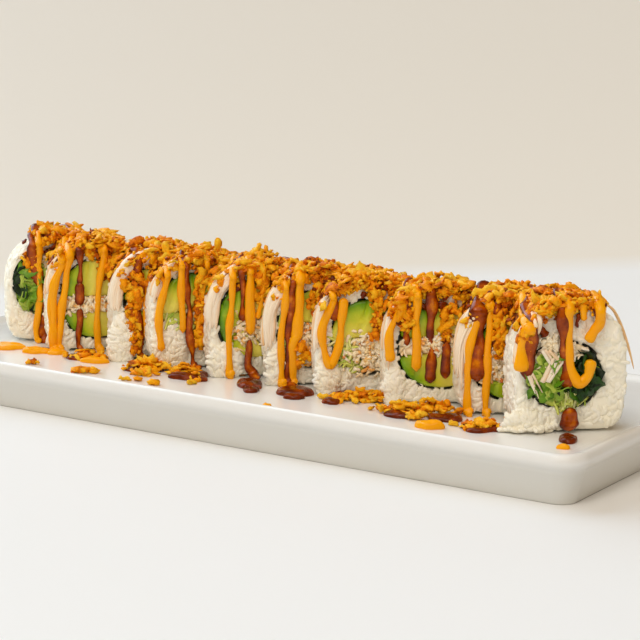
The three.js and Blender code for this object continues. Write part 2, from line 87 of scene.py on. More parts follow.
def make_piece(name, points, faces, finish, slot, nodes=(), **marks):
    """A mesh piece from points in millimetres and groups of faces. It is turned outwards where the volume, summed
    over the faces as a . (b x c), is below zero. Marks are numbers that its points carry for the finish."""
    points = np.asarray(points, float).reshape(-1, 3)
    volume = 0
    for group in faces:
        for k in range(1, group.shape[1] - 1):
            a, b, c = points[group[:, 0]], points[group[:, k]], points[group[:, k + 1]]
            volume += np.sum(a * np.cross(b, c))
    if volume < 0:
        faces = [group[:, ::-1] for group in faces]
    loops = np.concatenate([group.ravel() for group in faces]).astype(np.int32)
    sizes = np.concatenate([np.full(len(group), group.shape[1]) for group in faces])
    starts = np.concatenate([[0], np.cumsum(sizes)[:-1]]).astype(np.int32)
    mesh = bpy.data.meshes.new(name)
    mesh.vertices.add(len(points))
    mesh.vertices.foreach_set("co", (points * MM).astype(np.float32).ravel())
    mesh.loops.add(len(loops))
    mesh.loops.foreach_set("vertex_index", loops)
    mesh.polygons.add(len(sizes))
    mesh.polygons.foreach_set("loop_start", starts)
    mesh.polygons.foreach_set("use_smooth", np.ones(len(sizes), bool))
    for mark, values in marks.items():
        layer = mesh.attributes.new(mark, "FLOAT", "POINT")
        layer.data.foreach_set("value", np.broadcast_to(values, len(points)).astype(np.float32))
    mesh.update(calc_edges=True)
    mesh.materials.append(finish.material)
    piece = bpy.data.objects.new(name, mesh)
    bpy.context.scene.collection.objects.link(piece)
    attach(piece, "root")
    if nodes:
        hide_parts(*nodes)
    return piece


def colour(red, green, blue):
    """A colour as seen on a screen, 0 to 255, as the linear numbers that a shader takes."""
    shown = np.array([red, green, blue]) / 255
    linear = np.where(shown <= 0.04045, shown / 12.92, ((shown + 0.055) / 1.055) ** 2.4)
    return (*linear, 1.0)


class Wire:
    """An output socket of a finish. Sums written with wires and numbers add the Math nodes that work them out."""

    def __init__(self, finish, socket):
        self.finish = finish
        self.socket = socket

    def math(self, operation, *values):
        sockets = dict(enumerate(values))
        return self.finish.node("ShaderNodeMath", {"operation": operation}, sockets)

    def __add__(self, other):
        return self.math("ADD", self, other)

    def __radd__(self, other):
        return self.math("ADD", other, self)

    def __sub__(self, other):
        return self.math("SUBTRACT", self, other)

    def __rsub__(self, other):
        return self.math("SUBTRACT", other, self)

    def __mul__(self, other):
        return self.math("MULTIPLY", self, other)

    def __rmul__(self, other):
        return self.math("MULTIPLY", other, self)

    def clamped(self):
        return self.finish.node("ShaderNodeMath", {"operation": "ADD", "use_clamp": True}, {0: self, 1: 0.0})


class Finish:
    """A material on its principled shader. Constants are set on the shader's sockets, the rest is fed by wires."""

    def __init__(self, name, **constants):
        self.material = bpy.data.materials.new(name)
        self.material.use_nodes = True
        self.tree = self.material.node_tree
        self.shader = self.tree.nodes["Principled BSDF"]
        for socket, value in constants.items():
            self.shader.inputs[socket.replace("_", " ")].default_value = value

    def node(self, kind, settings=None, sockets=None, output=0):
        """Adds a node: its settings first, a ramp's stops among them, then values or wires for its sockets."""
        node = self.tree.nodes.new(kind)
        for setting, value in (settings or {}).items():
            if setting == "stops":
                ramp = node.color_ramp
                while len(ramp.elements) < len(value):
                    ramp.elements.new(1)
                for element, (position, shade) in zip(ramp.elements, value):
                    element.position = position
                    element.color = shade
            else:
                setattr(node, setting, value)
        for socket, value in (sockets or {}).items():
            self.feed(node.inputs[socket], value)
        return Wire(self, node.outputs[output])

    def feed(self, socket, value):
        if isinstance(value, Wire):
            self.tree.links.new(value.socket, socket)
        else:
            socket.default_value = value

    def set(self, **wires):
        for socket, wire in wires.items():
            self.feed(self.shader.inputs[socket.replace("_", " ")], wire)

    def place(self):
        return self.node("ShaderNodeTexCoord", output="Object")

    def mark(self, name):
        return self.node("ShaderNodeAttribute", {"attribute_name": name}, output="Fac")

    def clouds(self, size, detail=2.0, roughness=0.5):
        """Soft noise from 0 to 1 whose clouds are about size millimetres wide."""
        sockets = {"Vector": self.place(), "Scale": 1 / (size * MM), "Detail": detail, "Roughness": roughness}
        return self.node("ShaderNodeTexNoise", None, sockets, output=0)

    def ramp(self, factor, *stops):
        return self.node("ShaderNodeValToRGB", {"stops": stops}, {"Fac": factor})

    def mix(self, factor, a, b, way="MIX"):
        settings = {"data_type": "RGBA", "blend_type": way}
        return self.node("ShaderNodeMix", settings, {0: factor, 6: a, 7: b}, output=2)

    def bump(self, height, depth, strength=1.0):
        """Relief of a height from 0 to 1 that stands depth millimetres deep."""
        sockets = {"Height": height, "Distance": depth * MM, "Strength": strength}
        return self.node("ShaderNodeBump", None, sockets)


def plate_rings(inset, height):
    """Rings of the plate's outline: a rectangle let in by inset, with an arc round each corner's own middle."""
    corner = np.maximum(2, RIM_CORNER - 0.8 * inset)[:, None]
    quarter = np.repeat(np.arange(4), CORNER_STEPS + 1)
    turn = (quarter + np.tile(np.linspace(0, 1, CORNER_STEPS + 1), 4)) * np.pi / 2
    right = np.where((quarter == 0) | (quarter == 3), 1, -1)
    back = np.where(quarter < 2, 1, -1)
    x = right * (PLATE_LENGTH / 2 - inset[:, None] - corner) + corner * np.cos(turn)
    y = back * (PLATE_WIDTH / 2 - inset[:, None] - corner) + corner * np.sin(turn)
    return np.stack([x, y, np.broadcast_to(height[:, None], x.shape)], -1)


def glaze_finish():
    finish = Finish("white_glaze", Roughness=0.22, Coat_Weight=0.25, Coat_Roughness=0.1)
    body = finish.mix(finish.clouds(60), colour(241, 242, 241), colour(238, 238, 236))
    # Painted shade: the glaze turns grey below the lip, where the wall turns down away from the light.
    body = finish.mix(finish.mark("low") * 0.7, body, colour(212, 212, 206))
    finish.set(Base_Color=finish.mix(finish.clouds(1.4) * 0.08, body, colour(226, 222, 214)))
    finish.set(Roughness=0.18 + finish.clouds(25) * 0.12)
    finish.set(Normal=finish.bump(finish.clouds(18, 1.0), 0.12))
    return finish


lip_foot = RIM_HEIGHT - LIP_HEIGHT
foot_inner = FOOT_INSET + FOOT_WIDTH
plate_profile = smooth_line([
    (foot_inner + 1.4, FOOT_RECESS),
    (foot_inner + 1, FOOT_RECESS - 0.2),
    (foot_inner + 0.1, 0.2),
    (foot_inner - 0.5, 0),
    (FOOT_INSET + 0.4, 0),
    (FOOT_INSET - 0.5, 0.5),
    (WALL_INSET + 0.5, lip_foot - 3),
    (WALL_INSET - 0.1, lip_foot - 0.8),
    (0.8, lip_foot + 0.4),
    (0.2, lip_foot + 1.6),
    (0, lip_foot + 3),
    (0.3, RIM_HEIGHT - 2),
    (1.2, RIM_HEIGHT - 0.5),
    (LIP_WIDTH * 0.6, RIM_HEIGHT),
    (LIP_WIDTH, RIM_HEIGHT - 0.4),
    (7.4, FLOOR_HEIGHT + 0.3),
    (FLOOR_INSET, FLOOR_HEIGHT),
    (FLOOR_INSET + 1, FLOOR_HEIGHT),
], PROFILE_STEPS)
plate_points = plate_rings(plate_profile[:, 0], np.maximum(plate_profile[:, 1], 0))
plate_rows, plate_columns = plate_points.shape[:2]
plate_floors = np.stack([np.arange(plate_columns), (plate_rows - 1) * plate_columns + np.arange(plate_columns)[::-1]])
plate_wall = wall_faces(plate_rows, plate_columns)
# How far each point lies below the lip, for the painted shade on the wall.
low = np.clip((RIM_HEIGHT - 3.5 - plate_points[..., 2]) / 5, 0, 1).ravel()
make_piece("stoneware_plate", plate_points, [plate_wall, plate_floors[:, ::-1]], glaze_finish(), "plate", ["plate"],
           low=low)

# The rice: short-grain rice pressed into a thick wall round the nori, sticky enough that its grains keep their
# shape while they cling to each other. The cut faces show grains that the knife has pushed askew.
GAP = 0.35
SLICE_WIDTH = 46
SLICE_HEIGHT = 47.5
SLICE_SQUARENESS = 2.6
FOOT_SQUARENESS = 6
RING_SQUARENESS = 2.25
GRAIN_LENGTH = 5
GRAIN_WIDTH = 2.5
GRAIN_DEPTH = 2.1
WALL_GRAINS = 300
FACE_GRAINS = 230
FOOT_GRAINS = 130
HEAP_SPREAD = 54
RICE_LUMPS = {
    # slice: middle of the lump across and up the face, half width, half height, bulge, grains
    2: (-18, 6, 5, 8, 1.4, 50),
    3: (-19.5, 7, 6, 15, 3.6, 120),
    4: (-14.5, 9, 8, 13, 1.8, 130),
    5: (-15.5, 6, 8, 9, 1.8, 110),
    6: (-18.5, 7, 5, 9, 1.6, 60),
    7: (-17.5, 6, 5.5, 8, 2.4, 70),
    8: (-18.5, 7, 4.5, 9, 2.2, 60),
    10: (-19, 4, 8, 5, 2.5, 80),
}
SLICES = [
    dict(x=-121, y=-18.5, turn=44, thick=21, ring=(-1.5, 27.5, 19, 16), upper=(1, -50), lower=(-8, -20),
         heaped=(-0.4, 1)),
    dict(x=-93, y=-24, turn=44, thick=21, ring=(0.5, 24, 18.5, 19), upper=(1, 0), lower=(-5, 2)),
    dict(x=-57.5, y=-21.5, turn=47, thick=19, ring=(-1.5, 27, 18, 16.5), upper=(3, 12), lower=(-6, -8)),
    dict(x=-34, y=-25, turn=47, thick=18, ring=(-2.5, 28.5, 17.5, 15), upper=(-1, 14), lower=(-7, -30)),
    dict(x=-3, y=-24.5, turn=44, thick=19.5, ring=(-1.5, 25.5, 18.5, 18), upper=(1, 6), lower=(-6, -52)),
    dict(x=26.5, y=-23.5, turn=42, thick=18, ring=(-1.5, 25, 18, 17.5), upper=(2, -4), lower=(-9, -70)),
    dict(x=52.5, y=-26, turn=39, thick=17, ring=(0, 25, 17, 16.5), upper=(0, 8), lower=(-8, -60)),
    dict(x=85, y=-24, turn=36.5, thick=17.5, ring=(0.5, 24.5, 18.5, 18.5), upper=(4, 3), lower=(-2, 8)),
    dict(x=119.5, y=-22.5, turn=36, thick=18.5, ring=(0, 23.5, 17.5, 18), upper=(4, -10), lower=(-9, 4)),
    dict(x=151.5, y=-34.5, turn=41, thick=24, ring=(-3.5, 23, 15.5, 14), upper=(4, 30), lower=(-9, 5),
         height=50.5, heaped=(-1, 0.42)),
]


def rounded_square(angle, half_width, half_height, power):
    """Points where |x / half width| ^ power + |z / half height| ^ power is 1, at angles from the right end."""
    c, s = np.cos(angle), np.sin(angle)
    reach = (np.abs(c / half_width) ** power + np.abs(s / half_height) ** power) ** (-1 / power)
    return np.stack([reach * c, reach * s], -1)


def outer_line(cut, angle, inset):
    """The outline of a slice, let in by inset: places across and up its cut face. Its own weight has made the
    lower half squarer than the upper one."""
    half = cut.get("height", SLICE_HEIGHT) / 2
    sag = np.clip(-1.6 * np.sin(angle), 0, 1)
    power = SLICE_SQUARENESS + (FOOT_SQUARENESS - SLICE_SQUARENESS) * sag
    return rounded_square(angle, SLICE_WIDTH / 2 - inset, half - inset, power) + [0, half]


def ring_line(cut, angle, inset):
    """The line of the nori in a slice, let in by inset."""
    across, up, half_width, half_height = cut["ring"]
    return rounded_square(angle, half_width - inset, half_height - inset, RING_SQUARENESS) + [across, up]


def on_slice(cut, points):
    """Points across a slice's face, into the slice and up from the plate, turned and moved to where it stands."""
    turn = np.radians(cut["turn"])
    across, into, up = np.moveaxis(np.asarray(points, float), -1, 0)
    x = cut["x"] + across * np.cos(turn) - into * np.sin(turn)
    y = cut["y"] + across * np.sin(turn) + into * np.cos(turn)
    return np.stack([x, y, FLOOR_HEIGHT + GAP + up], -1)


def lumps(points, size, seed):
    """Smooth numbers from -1 to 1: draws on a lattice of cells of this size, blended between each cell's corners."""
    lattice = np.random.default_rng(seed).uniform(-1, 1, (32, 32, 32))
    place = np.asarray(points) / size
    cell = np.floor(place).astype(int)
    part = place - cell
    part = part * part * (3 - 2 * part)
    total = 0
    for corner in np.ndindex(2, 2, 2):
        share = np.prod(np.where(np.array(corner, bool), part, 1 - part), axis=-1)
        i, j, k = np.moveaxis((cell + corner) % 32, -1, 0)
        total = total + share * lattice[i, j, k]
    return total


def pellet(stations, sides, fullness):
    """A closed pellet from -1 to 1 along x, of radius (1 - |x| ^ fullness) ^ (1 / fullness), with its faces."""
    x = np.cos(np.linspace(np.pi, 0, stations + 2))[1:-1, None]
    radius = (1 - np.abs(x) ** fullness) ** (1 / fullness)
    turn = np.arange(sides)[None, :] * 2 * np.pi / sides
    rings = np.stack([x + 0 * turn, radius * np.cos(turn), radius * np.sin(turn)], -1).reshape(-1, 3)
    points = np.concatenate([rings, [[-1, 0, 0], [1, 0, 0]]])
    ends = [fan_faces(0, sides, len(rings), False), fan_faces(len(rings) - sides, sides, len(rings) + 1, True)]
    return points, [wall_faces(stations, sides), *ends]


def scatter(shapes, faces, centres, along, normal):
    """Copies of small shapes: each point goes to centre + x along + y (normal x along) + z normal."""
    along = along / np.linalg.norm(along, axis=-1, keepdims=True)
    across = np.cross(normal, along)
    across = across / np.linalg.norm(across, axis=-1, keepdims=True)
    axes = np.stack([along, across, np.cross(along, across)], 1)
    points = centres[:, None] + np.einsum("nvi,nij->nvj", shapes, axes)
    offsets = np.arange(len(centres))[:, None, None] * shapes.shape[1]
    return points.reshape(-1, 3), [(group[None] + offsets).reshape(-1, group.shape[1]) for group in faces]


def join(*parts):
    """Several pairs of points and faces as one."""
    points, faces, first = [], [], 0
    for part_points, part_faces in parts:
        points.append(np.asarray(part_points).reshape(-1, 3))
        faces += [group + first for group in part_faces]
        first += len(points[-1])
    return np.concatenate(points), faces


def rice_core(cut):
    """The pressed rice under its grains: a ring, each of whose columns runs over the outer wall from the cut face
    to the back one and comes back along the nori."""
    angle = np.linspace(0, 2 * np.pi, 96, endpoint=False)
    thick = cut["thick"]
    columns = []
    for into, inset in ((0.4, 1.5), (1.2, 0.6), (thick / 2, 0.45), (thick - 1.2, 0.6), (thick - 0.4, 1.5)):
        columns.append((outer_line(cut, angle, inset), into))
    inner = ring_line(cut, angle, -GAP)
    for mix, into in ((0.5, thick - 0.35), (0, thick - 0.3), (0, thick / 2), (0, 0.3), (0.5, 0.35)):
        columns.append((inner + mix * (outer_line(cut, angle, 1.5) - inner), into))
    columns = [np.stack([line[:, 0], np.full(96, into), line[:, 1]], -1) for line, into in columns]
    return np.stack(columns, 1), wall_faces(96, len(columns), looped=True)


def wall_angles(cut, rng, count):
    """Angles drawn evenly over the length of the outline, but for its foot and for what the heap covers."""
    angle = np.linspace(0, 2 * np.pi, 2001)
    line = outer_line(cut, angle, 0)
    length = np.concatenate([[0], np.cumsum(np.linalg.norm(np.diff(line, axis=0), axis=-1))])
    draws = np.interp(rng.uniform(0, length[-1], 5 * count), length, angle)
    low, high = cut.get("heaped", (-1, 1))
    spread = (90 - (np.degrees(draws) + 90) % 360 + 90) / HEAP_SPREAD
    bare = (spread < low * 0.86) | (spread > high * 0.86)
    return draws[bare & (outer_line(cut, draws, 0)[:, 1] > 0.8)][:count]


def face_places(cut, rng, count):
    """Places drawn evenly over the rice of a cut face, between its outline and the nori."""
    half = cut.get("height", SLICE_HEIGHT) / 2
    across, up, half_width, half_height = cut["ring"]
    draws = rng.uniform(-1, 1, (6 * count, 2)) * [SLICE_WIDTH / 2, half]
    reach = np.linalg.norm(outer_line(cut, np.arctan2(draws[:, 1], draws[:, 0]), 1.9) - [0, half], axis=-1)
    held = np.linalg.norm(draws, axis=-1) < reach
    draws = draws + [0, half]
    ring = np.sum(np.abs((draws - [across, up]) / [half_width + 0.5, half_height + 0.5]) ** RING_SQUARENESS, -1)
    return draws[held & (ring > 1)][:count]


def grains(cut, seed):
    """Grains on the outer wall and on both faces, laid at random in the surface and tipped a little out of it."""
    rng = np.random.default_rng(seed)
    thick = cut["thick"]
    angle = wall_angles(cut, rng, WALL_GRAINS)
    few = len(angle)
    depth = rng.uniform(0.75, 1.1, few)
    line = outer_line(cut, angle, depth)
    into = rng.uniform(1.5, thick - 1.5, few)
    ahead = outer_line(cut, angle + 0.02, depth) - line
    round_wall = np.stack([ahead[:, 0], 0 * into, ahead[:, 1]], -1)
    round_wall /= np.linalg.norm(round_wall, axis=-1, keepdims=True)
    outwards = np.stack([ahead[:, 1], 0 * into, -ahead[:, 0]], -1)
    outwards /= np.linalg.norm(outwards, axis=-1, keepdims=True)
    lie = rng.uniform(0, np.pi, few)[:, None]
    along = np.cos(lie) * round_wall + np.sin(lie) * [0, 1, 0] + rng.normal(0, 0.06, (few, 1)) * outwards
    centres = np.stack([line[:, 0], into, line[:, 1]], -1)

    line = face_places(cut, rng, 2 * FACE_GRAINS)
    few = len(line)
    front = np.arange(few) < few // 2
    depth = rng.uniform(0.65, 1.05, few)
    face_centres = np.stack([line[:, 0], np.where(front, depth, thick - depth), line[:, 1]], -1)
    lie = rng.uniform(0, np.pi, few)
    face_along = np.stack([np.cos(lie), rng.normal(0, 0.07, few), np.sin(lie)], -1)
    face_out = np.where(front[:, None], [0, -1, 0], [0, 1, 0])

    centres = np.concatenate([centres, face_centres])
    along = np.concatenate([along, face_along])
    normal = np.concatenate([outwards, face_out])
    if "height" in cut:
        spread = rng.uniform(0, 1, FOOT_GRAINS)
        across = -27.5 + 23 * spread + rng.normal(0, 0.6, FOOT_GRAINS)
        ahead = 3.5 - 7.5 * rng.uniform(0, 1, FOOT_GRAINS) ** 1.2 * np.sin(np.pi * (0.12 + 0.8 * spread))
        rise = rng.uniform(0.6, 1.0, FOOT_GRAINS) + np.clip((across + 27) / 6, 0, 1) * rng.uniform(0, 2.4, FOOT_GRAINS)
        lie = rng.uniform(0, np.pi, FOOT_GRAINS)
        flat = np.stack([np.cos(lie), np.sin(lie), rng.normal(0, 0.1, FOOT_GRAINS)], -1)
        centres = np.concatenate([centres, np.stack([across, ahead, rise], -1)])
        along = np.concatenate([along, flat])
        normal = np.concatenate([normal, np.tile([0.0, 0, 1], (FOOT_GRAINS, 1))])
    if seed - 100 in RICE_LUMPS:
        across, up, half_width, half_height, bulge, few = RICE_LUMPS[seed - 100]
        turn = rng.uniform(0, 2 * np.pi, few)
        share = np.sqrt(rng.uniform(0, 0.95, few))
        spread = np.stack([np.cos(turn), np.sin(turn)], -1) * share[:, None]
        proud = bulge * np.sqrt(1 - share**2) - rng.uniform(0.75, 1.1, few)
        out = np.stack([spread[:, 0] / half_width, -np.sqrt(1 - share**2) / bulge, spread[:, 1] / half_height], -1)
        out /= np.linalg.norm(out, axis=-1, keepdims=True)
        place = [across + half_width * spread[:, 0], -proud, np.maximum(up + half_height * spread[:, 1], 0.6)]
        centres = np.concatenate([centres, np.stack(place, -1)])
        along = np.concatenate([along, np.cross(out, rng.normal(0, 1, (few, 3)))])
        normal = np.concatenate([normal, out])
    count = len(centres)
    template, faces = pellet(4, 6, 2.6)
    size = np.stack([rng.normal(GRAIN_LENGTH / 2, 0.35, count), rng.normal(GRAIN_WIDTH / 2, 0.14, count),
                     rng.normal(GRAIN_DEPTH / 2, 0.07, count)], -1)
    shapes = template[None] * size[:, None]
    points, faces = scatter(shapes, faces, centres, along, normal)
    points[:, 2] = np.maximum(points[:, 2], -GAP + 0.05)
    tint = np.repeat(rng.uniform(0, 1, count), len(template))
    return points, faces, tint


def rice_finish():
    finish = Finish("cooked_rice", Specular_IOR_Level=0.3)
    body = finish.mix(finish.mark("tint"), colour(255, 254, 247), colour(255, 250, 233))
    warm = finish.mix(finish.clouds(12) * 0.5, body, colour(252, 242, 208))
    finish.set(Base_Color=warm)
    finish.set(Roughness=0.34 + finish.clouds(1.5) * 0.2)
    finish.set(Normal=finish.bump(finish.clouds(0.8), 0.08))
    return finish


rice_look = rice_finish()
for number, cut in enumerate(SLICES, 1):
    core_points, core_faces = rice_core(cut)
    grain_points, grain_faces, tint = grains(cut, 100 + number)
    parts = [(core_points, [core_faces]), (grain_points, grain_faces)]
    if number in RICE_LUMPS:
        across, up, half_width, half_height, bulge, _ = RICE_LUMPS[number]
        mound_points, mound_faces = pellet(9, 24, 2)
        mound_points = mound_points * [half_width, bulge - 0.4, half_height] + [across, 0.4, up]
        mound_points[:, 2] = np.maximum(mound_points[:, 2], 0)
        parts.append((mound_points, mound_faces))
    points, faces = join(*parts)
    tints = np.full(len(points), 0.6)
    tints[core_points.size // 3:][:len(tint)] = tint
    make_piece(f"rice_wall_{number}", on_slice(cut, points), faces, rice_look, "rice", [f"rice_{number}"], tint=tints)

# The nori: a sheet of pressed, dried seaweed rolled inside the rice. It has softened in the damp, so its cut edge
# waves a little and stands out at one place and back at another.
NORI_THICKNESS = 0.55


def nori_finish():
    finish = Finish("seaweed", Roughness=0.5, Specular_IOR_Level=0.4)
    shade = finish.ramp(finish.clouds(2.2, 3.0), (0.3, colour(14, 20, 10)), (0.6, colour(24, 34, 16)),
                        (0.85, colour(44, 56, 22)))
    finish.set(Base_Color=shade, Roughness=0.35 + finish.clouds(1.2) * 0.3)
    finish.set(Normal=finish.bump(finish.clouds(0.7, 3.0), 0.15))
    return finish


def nori_sleeve(cut, seed):
    """A closed sleeve: each column goes along the outer side, from the cut edge to the back one, and back inside.
    Sines of the angle let the sheet wave and push its edges in and out."""
    angle = np.linspace(0, 2 * np.pi, 144, endpoint=False)
    rng = np.random.default_rng(seed)
    phase = rng.uniform(0, 2 * np.pi, 3)
    wave = 0.28 * np.sin(5 * angle + phase[0]) + 0.2 * np.sin(9 * angle + phase[1]) + 0.12 * np.sin(17 * angle)
    edge = 0.6 * np.sin(5 * angle + phase[2]) + 0.5 * np.sin(19 * angle) + 0.4
    shares = np.array([0, 0.03, 0.3, 0.7, 0.97, 1])
    thick = cut["thick"]
    into = edge[:, None] * (1 - shares) + (thick + 0.3 - edge[:, None] * 0.5) * shares
    outer = ring_line(cut, angle, 0.25 + wave)
    inner = ring_line(cut, angle, 0.25 + wave + NORI_THICKNESS)
    lines = np.concatenate([np.repeat(outer[:, None], 6, 1), np.repeat(inner[:, None], 6, 1)], 1)
    depth = np.concatenate([into, into[:, ::-1]], 1)
    return np.stack([lines[..., 0], depth, lines[..., 1]], -1), wall_faces(144, 12, looped=True)


nori_look = nori_finish()
for number, cut in enumerate(SLICES, 1):
    points, faces = nori_sleeve(cut, 200 + number)
    make_piece(f"nori_sheet_{number}", on_slice(cut, points), [faces], nori_look, "nori", [f"nori_{number}"])

# The avocado: ripe fruit cut into wedges and laid in pairs along the roll, dark green where the skin was and
# yellow towards the stone. The knife leaves a smooth, moist face with a crease between two wedges.
FILLING_STEPS = 96
AVOCADOS = [
    # slice, level, side of the skin in degrees, creases as (middle across, middle up, tilt in degrees)
    (2, "upper", 170, [(-4.5, 33, 86)]),
    (2, "lower", 215, [(-8.5, 12, 72)]),
    (3, "upper", 175, [(-10, 36, 80)]),
    (3, "lower", 215, [(-6, 12, 60)]),
    (4, None, 95, [(-13.5, 34, 74), (-4, 36, 100)]),
    (5, "upper", 150, [(-13, 33, 85), (-4, 33, 95)]),
    (5, "lower", 190, [(-12, 18, 60)]),
    (6, None, 150, [(-13, 33, 88), (-4, 33, 80)]),
    (7, None, 100, [(-3, 33, 75)]),
    (8, "upper", 130, [(-5, 34, 90)]),
    (8, "lower", 215, [(-9.5, 15, 80)]),
    (9, "upper", 170, [(-6, 33, 80)]),
    (9, "lower", 215, [(-8, 10, 85)]),
]


def half_planes(cut, level):
    """The straight sides of a filling, each as a tilted normal and how far the filling reaches along it."""
    across, up = cut["ring"][:2]
    sides = []
    for height, tilt in (cut["upper"], cut["lower"]):
        normal = np.array([-np.sin(np.radians(tilt)), np.cos(np.radians(tilt))])
        sides.append((normal, height + normal @ [across, up]))
    upper, lower = sides
    if level == "upper":
        return [(-upper[0], -upper[1] - GAP / 2)]
    if level == "lower":
        return [(lower[0], lower[1] - GAP / 2)]
    return [(upper[0], upper[1] - GAP / 2), (-lower[0], -lower[1] - GAP / 2)]


def filling_line(cut, sides, steps=FILLING_STEPS):
    """The outline of a filling about its middle: at each angle the reach to the nori or to the nearest straight
    side, whichever is less. The reach to the nori is found by halving steps."""
    angle = np.linspace(0, 2 * np.pi, steps, endpoint=False)
    way = np.stack([np.cos(angle), np.sin(angle)], -1)
    across, up, half_width, half_height = cut["ring"]
    ring = np.array([across, up])
    half = np.array([half_width, half_height]) - NORI_THICKNESS - GAP

    def inside(points):
        held = np.sum(np.abs((points - ring) / half) ** RING_SQUARENESS, -1) <= 1
        for normal, level in sides:
            held &= points @ normal <= level
        return held

    grid = np.stack(np.meshgrid(np.linspace(-1, 1, 81), np.linspace(-1, 1, 81)), -1).reshape(-1, 2) * half + ring
    middle = grid[inside(grid)].mean(0)
    low, high = np.zeros(steps), np.full(steps, 60.0)
    for _ in range(24):
        reach = (low + high) / 2
        held = inside(middle + way * reach[:, None])
        low, high = np.where(held, reach, low), np.where(held, high, reach)
    soft = np.array([1, 4, 6, 4, 1]) / 16
    reach = sum(weight * np.roll(low, shift) for weight, shift in zip(soft, range(-2, 3)))
    return middle, middle + way * reach[:, None]


def block(cut, sides, relief, rings=14):
    """A filling that runs through the slice: a polar grid over the cut face, a wall, and a grid over the back. The
    relief function says how far each place of a face stands out."""
    middle, line = filling_line(cut, sides)
    steps = len(line)
    share = np.linspace(0, 1, rings + 1)[1:, None, None] ** 0.8
    face = middle + share * (line - middle)
    thick = cut["thick"]
    rim = np.sqrt(np.clip(1 - share[..., 0] ** 6, 0, 1))
    front = -relief(face, 0) * rim + 0.5 * (1 - rim)
    back = thick + relief(face, 1) * rim - 0.5 * (1 - rim)
    rows = [np.stack([face[..., 0], front, face[..., 1]], -1)]
    for into in np.linspace(1.2, thick - 1.2, 5):
        rows.append(np.stack([line[:, 0], np.full(steps, into), line[:, 1]], -1)[None])
    rows.append(np.stack([face[..., 0], back, face[..., 1]], -1)[::-1])
    grid = np.concatenate(rows)
    poles = [[middle[0], -relief(middle[None], 0)[0], middle[1]], [middle[0], thick + relief(middle[None], 1)[0], middle[1]]]
    count = grid.shape[0] * steps
    faces = [wall_faces(grid.shape[0], steps), fan_faces(0, steps, count, False), fan_faces(count - steps, steps, count + 1, True)]
    return np.concatenate([grid.reshape(-1, 3), poles]), faces


def avocado_relief(cut, creases, seed):
    """A domed face with a narrow crease along each line between wedges, and the wedges tipped a little."""
    def relief(places, back):
        height = 0.5 + 0.2 * lumps(np.concatenate([places, 0 * places[..., :1]], -1), 5, seed + back)
        for x, z, tilt in creases:
            normal = np.array([np.sin(np.radians(tilt)), -np.cos(np.radians(tilt))])
            off = (places - [x, z]) @ normal
            height = height - 0.9 * np.exp(-(off / 0.5) ** 2) + 0.07 * np.clip(np.abs(off), 0, 8)
            height = height + 0.5 * np.exp(-((off - 1.6) / 1.6) ** 2)
        return height
    return relief


def avocado_finish():
    finish = Finish("ripe_avocado", Subsurface_Weight=0.15, Subsurface_Radius=(0.8, 0.8, 0.3), Subsurface_Scale=0.002,
                    Coat_Weight=0.12, Coat_Roughness=0.1, Specular_IOR_Level=0.3)
    depth = finish.mark("depth") + (finish.clouds(5) - 0.5) * 0.3
    body = finish.ramp(depth, (0.0, colour(52, 108, 4)), (0.12, colour(108, 164, 8)), (0.32, colour(176, 202, 28)),
                       (0.6, colour(222, 218, 62)), (1.0, colour(242, 228, 104)))
    finish.set(Base_Color=finish.mix(finish.clouds(1.6, 3.0) * 0.2, body, colour(176, 190, 30)))
    finish.set(Roughness=0.24 + finish.clouds(2.5) * 0.2)
    finish.set(Normal=finish.bump(finish.clouds(1.2, 3.0), 0.12))
    return finish


avocado_look = avocado_finish()
for index, (number, level, skin, creases) in enumerate(AVOCADOS):
    cut = SLICES[number - 1]
    sides = half_planes(cut, level or "upper")
    points, faces = block(cut, sides, avocado_relief(cut, creases, 300 + index))
    skin_way = np.array([np.cos(np.radians(skin)), 0, np.sin(np.radians(skin))])
    along = points @ skin_way
    depth = (along.max() - along) / 15
    name = f"{number}_{level}" if level else f"{number}"
    make_piece(f"avocado_wedge_{name}", on_slice(cut, points), faces, avocado_look, "avocado", [f"avocado_{name}"],
               depth=depth)

# The crab filling: imitation crab pulled into short threads and bound with a little mayonnaise and roe. It bulges
# out of the cut face in a loose tangle of pale threads with orange ones among them.
THREADS_A_FACE = 230
CRABS = {1: "upper", 10: "upper"}
CRAB_LUMPS = {
    # slice: middle of the lump across and up the face, half width, half height, threads
    2: (-8, 20, 8, 3.5, 50),
    5: (-7, 21, 6.5, 9, 130),
    6: (-9, 18, 9, 9, 150),
    7: (0, 18, 11, 9.5, 130),
    8: (-5, 25.5, 11, 4.5, 60),
    9: (-10, 20, 6, 7, 60),
    10: (-9, 36.5, 5.5, 3.2, 70),
}


def crab_finish():
    finish = Finish("pulled_crab", Roughness=0.45, Specular_IOR_Level=0.35)
    body = finish.ramp(finish.mark("tint"), (0.0, colour(255, 249, 232)), (0.6, colour(255, 238, 200)),
                       (0.82, colour(250, 212, 140)), (0.94, colour(246, 164, 64)), (1.0, colour(240, 116, 30)))
    finish.set(Base_Color=finish.mix(finish.clouds(1.5, 3.0) * 0.25, body, colour(246, 208, 146)))
    finish.set(Normal=finish.bump(finish.clouds(0.6, 3.0), 0.2))
    return finish


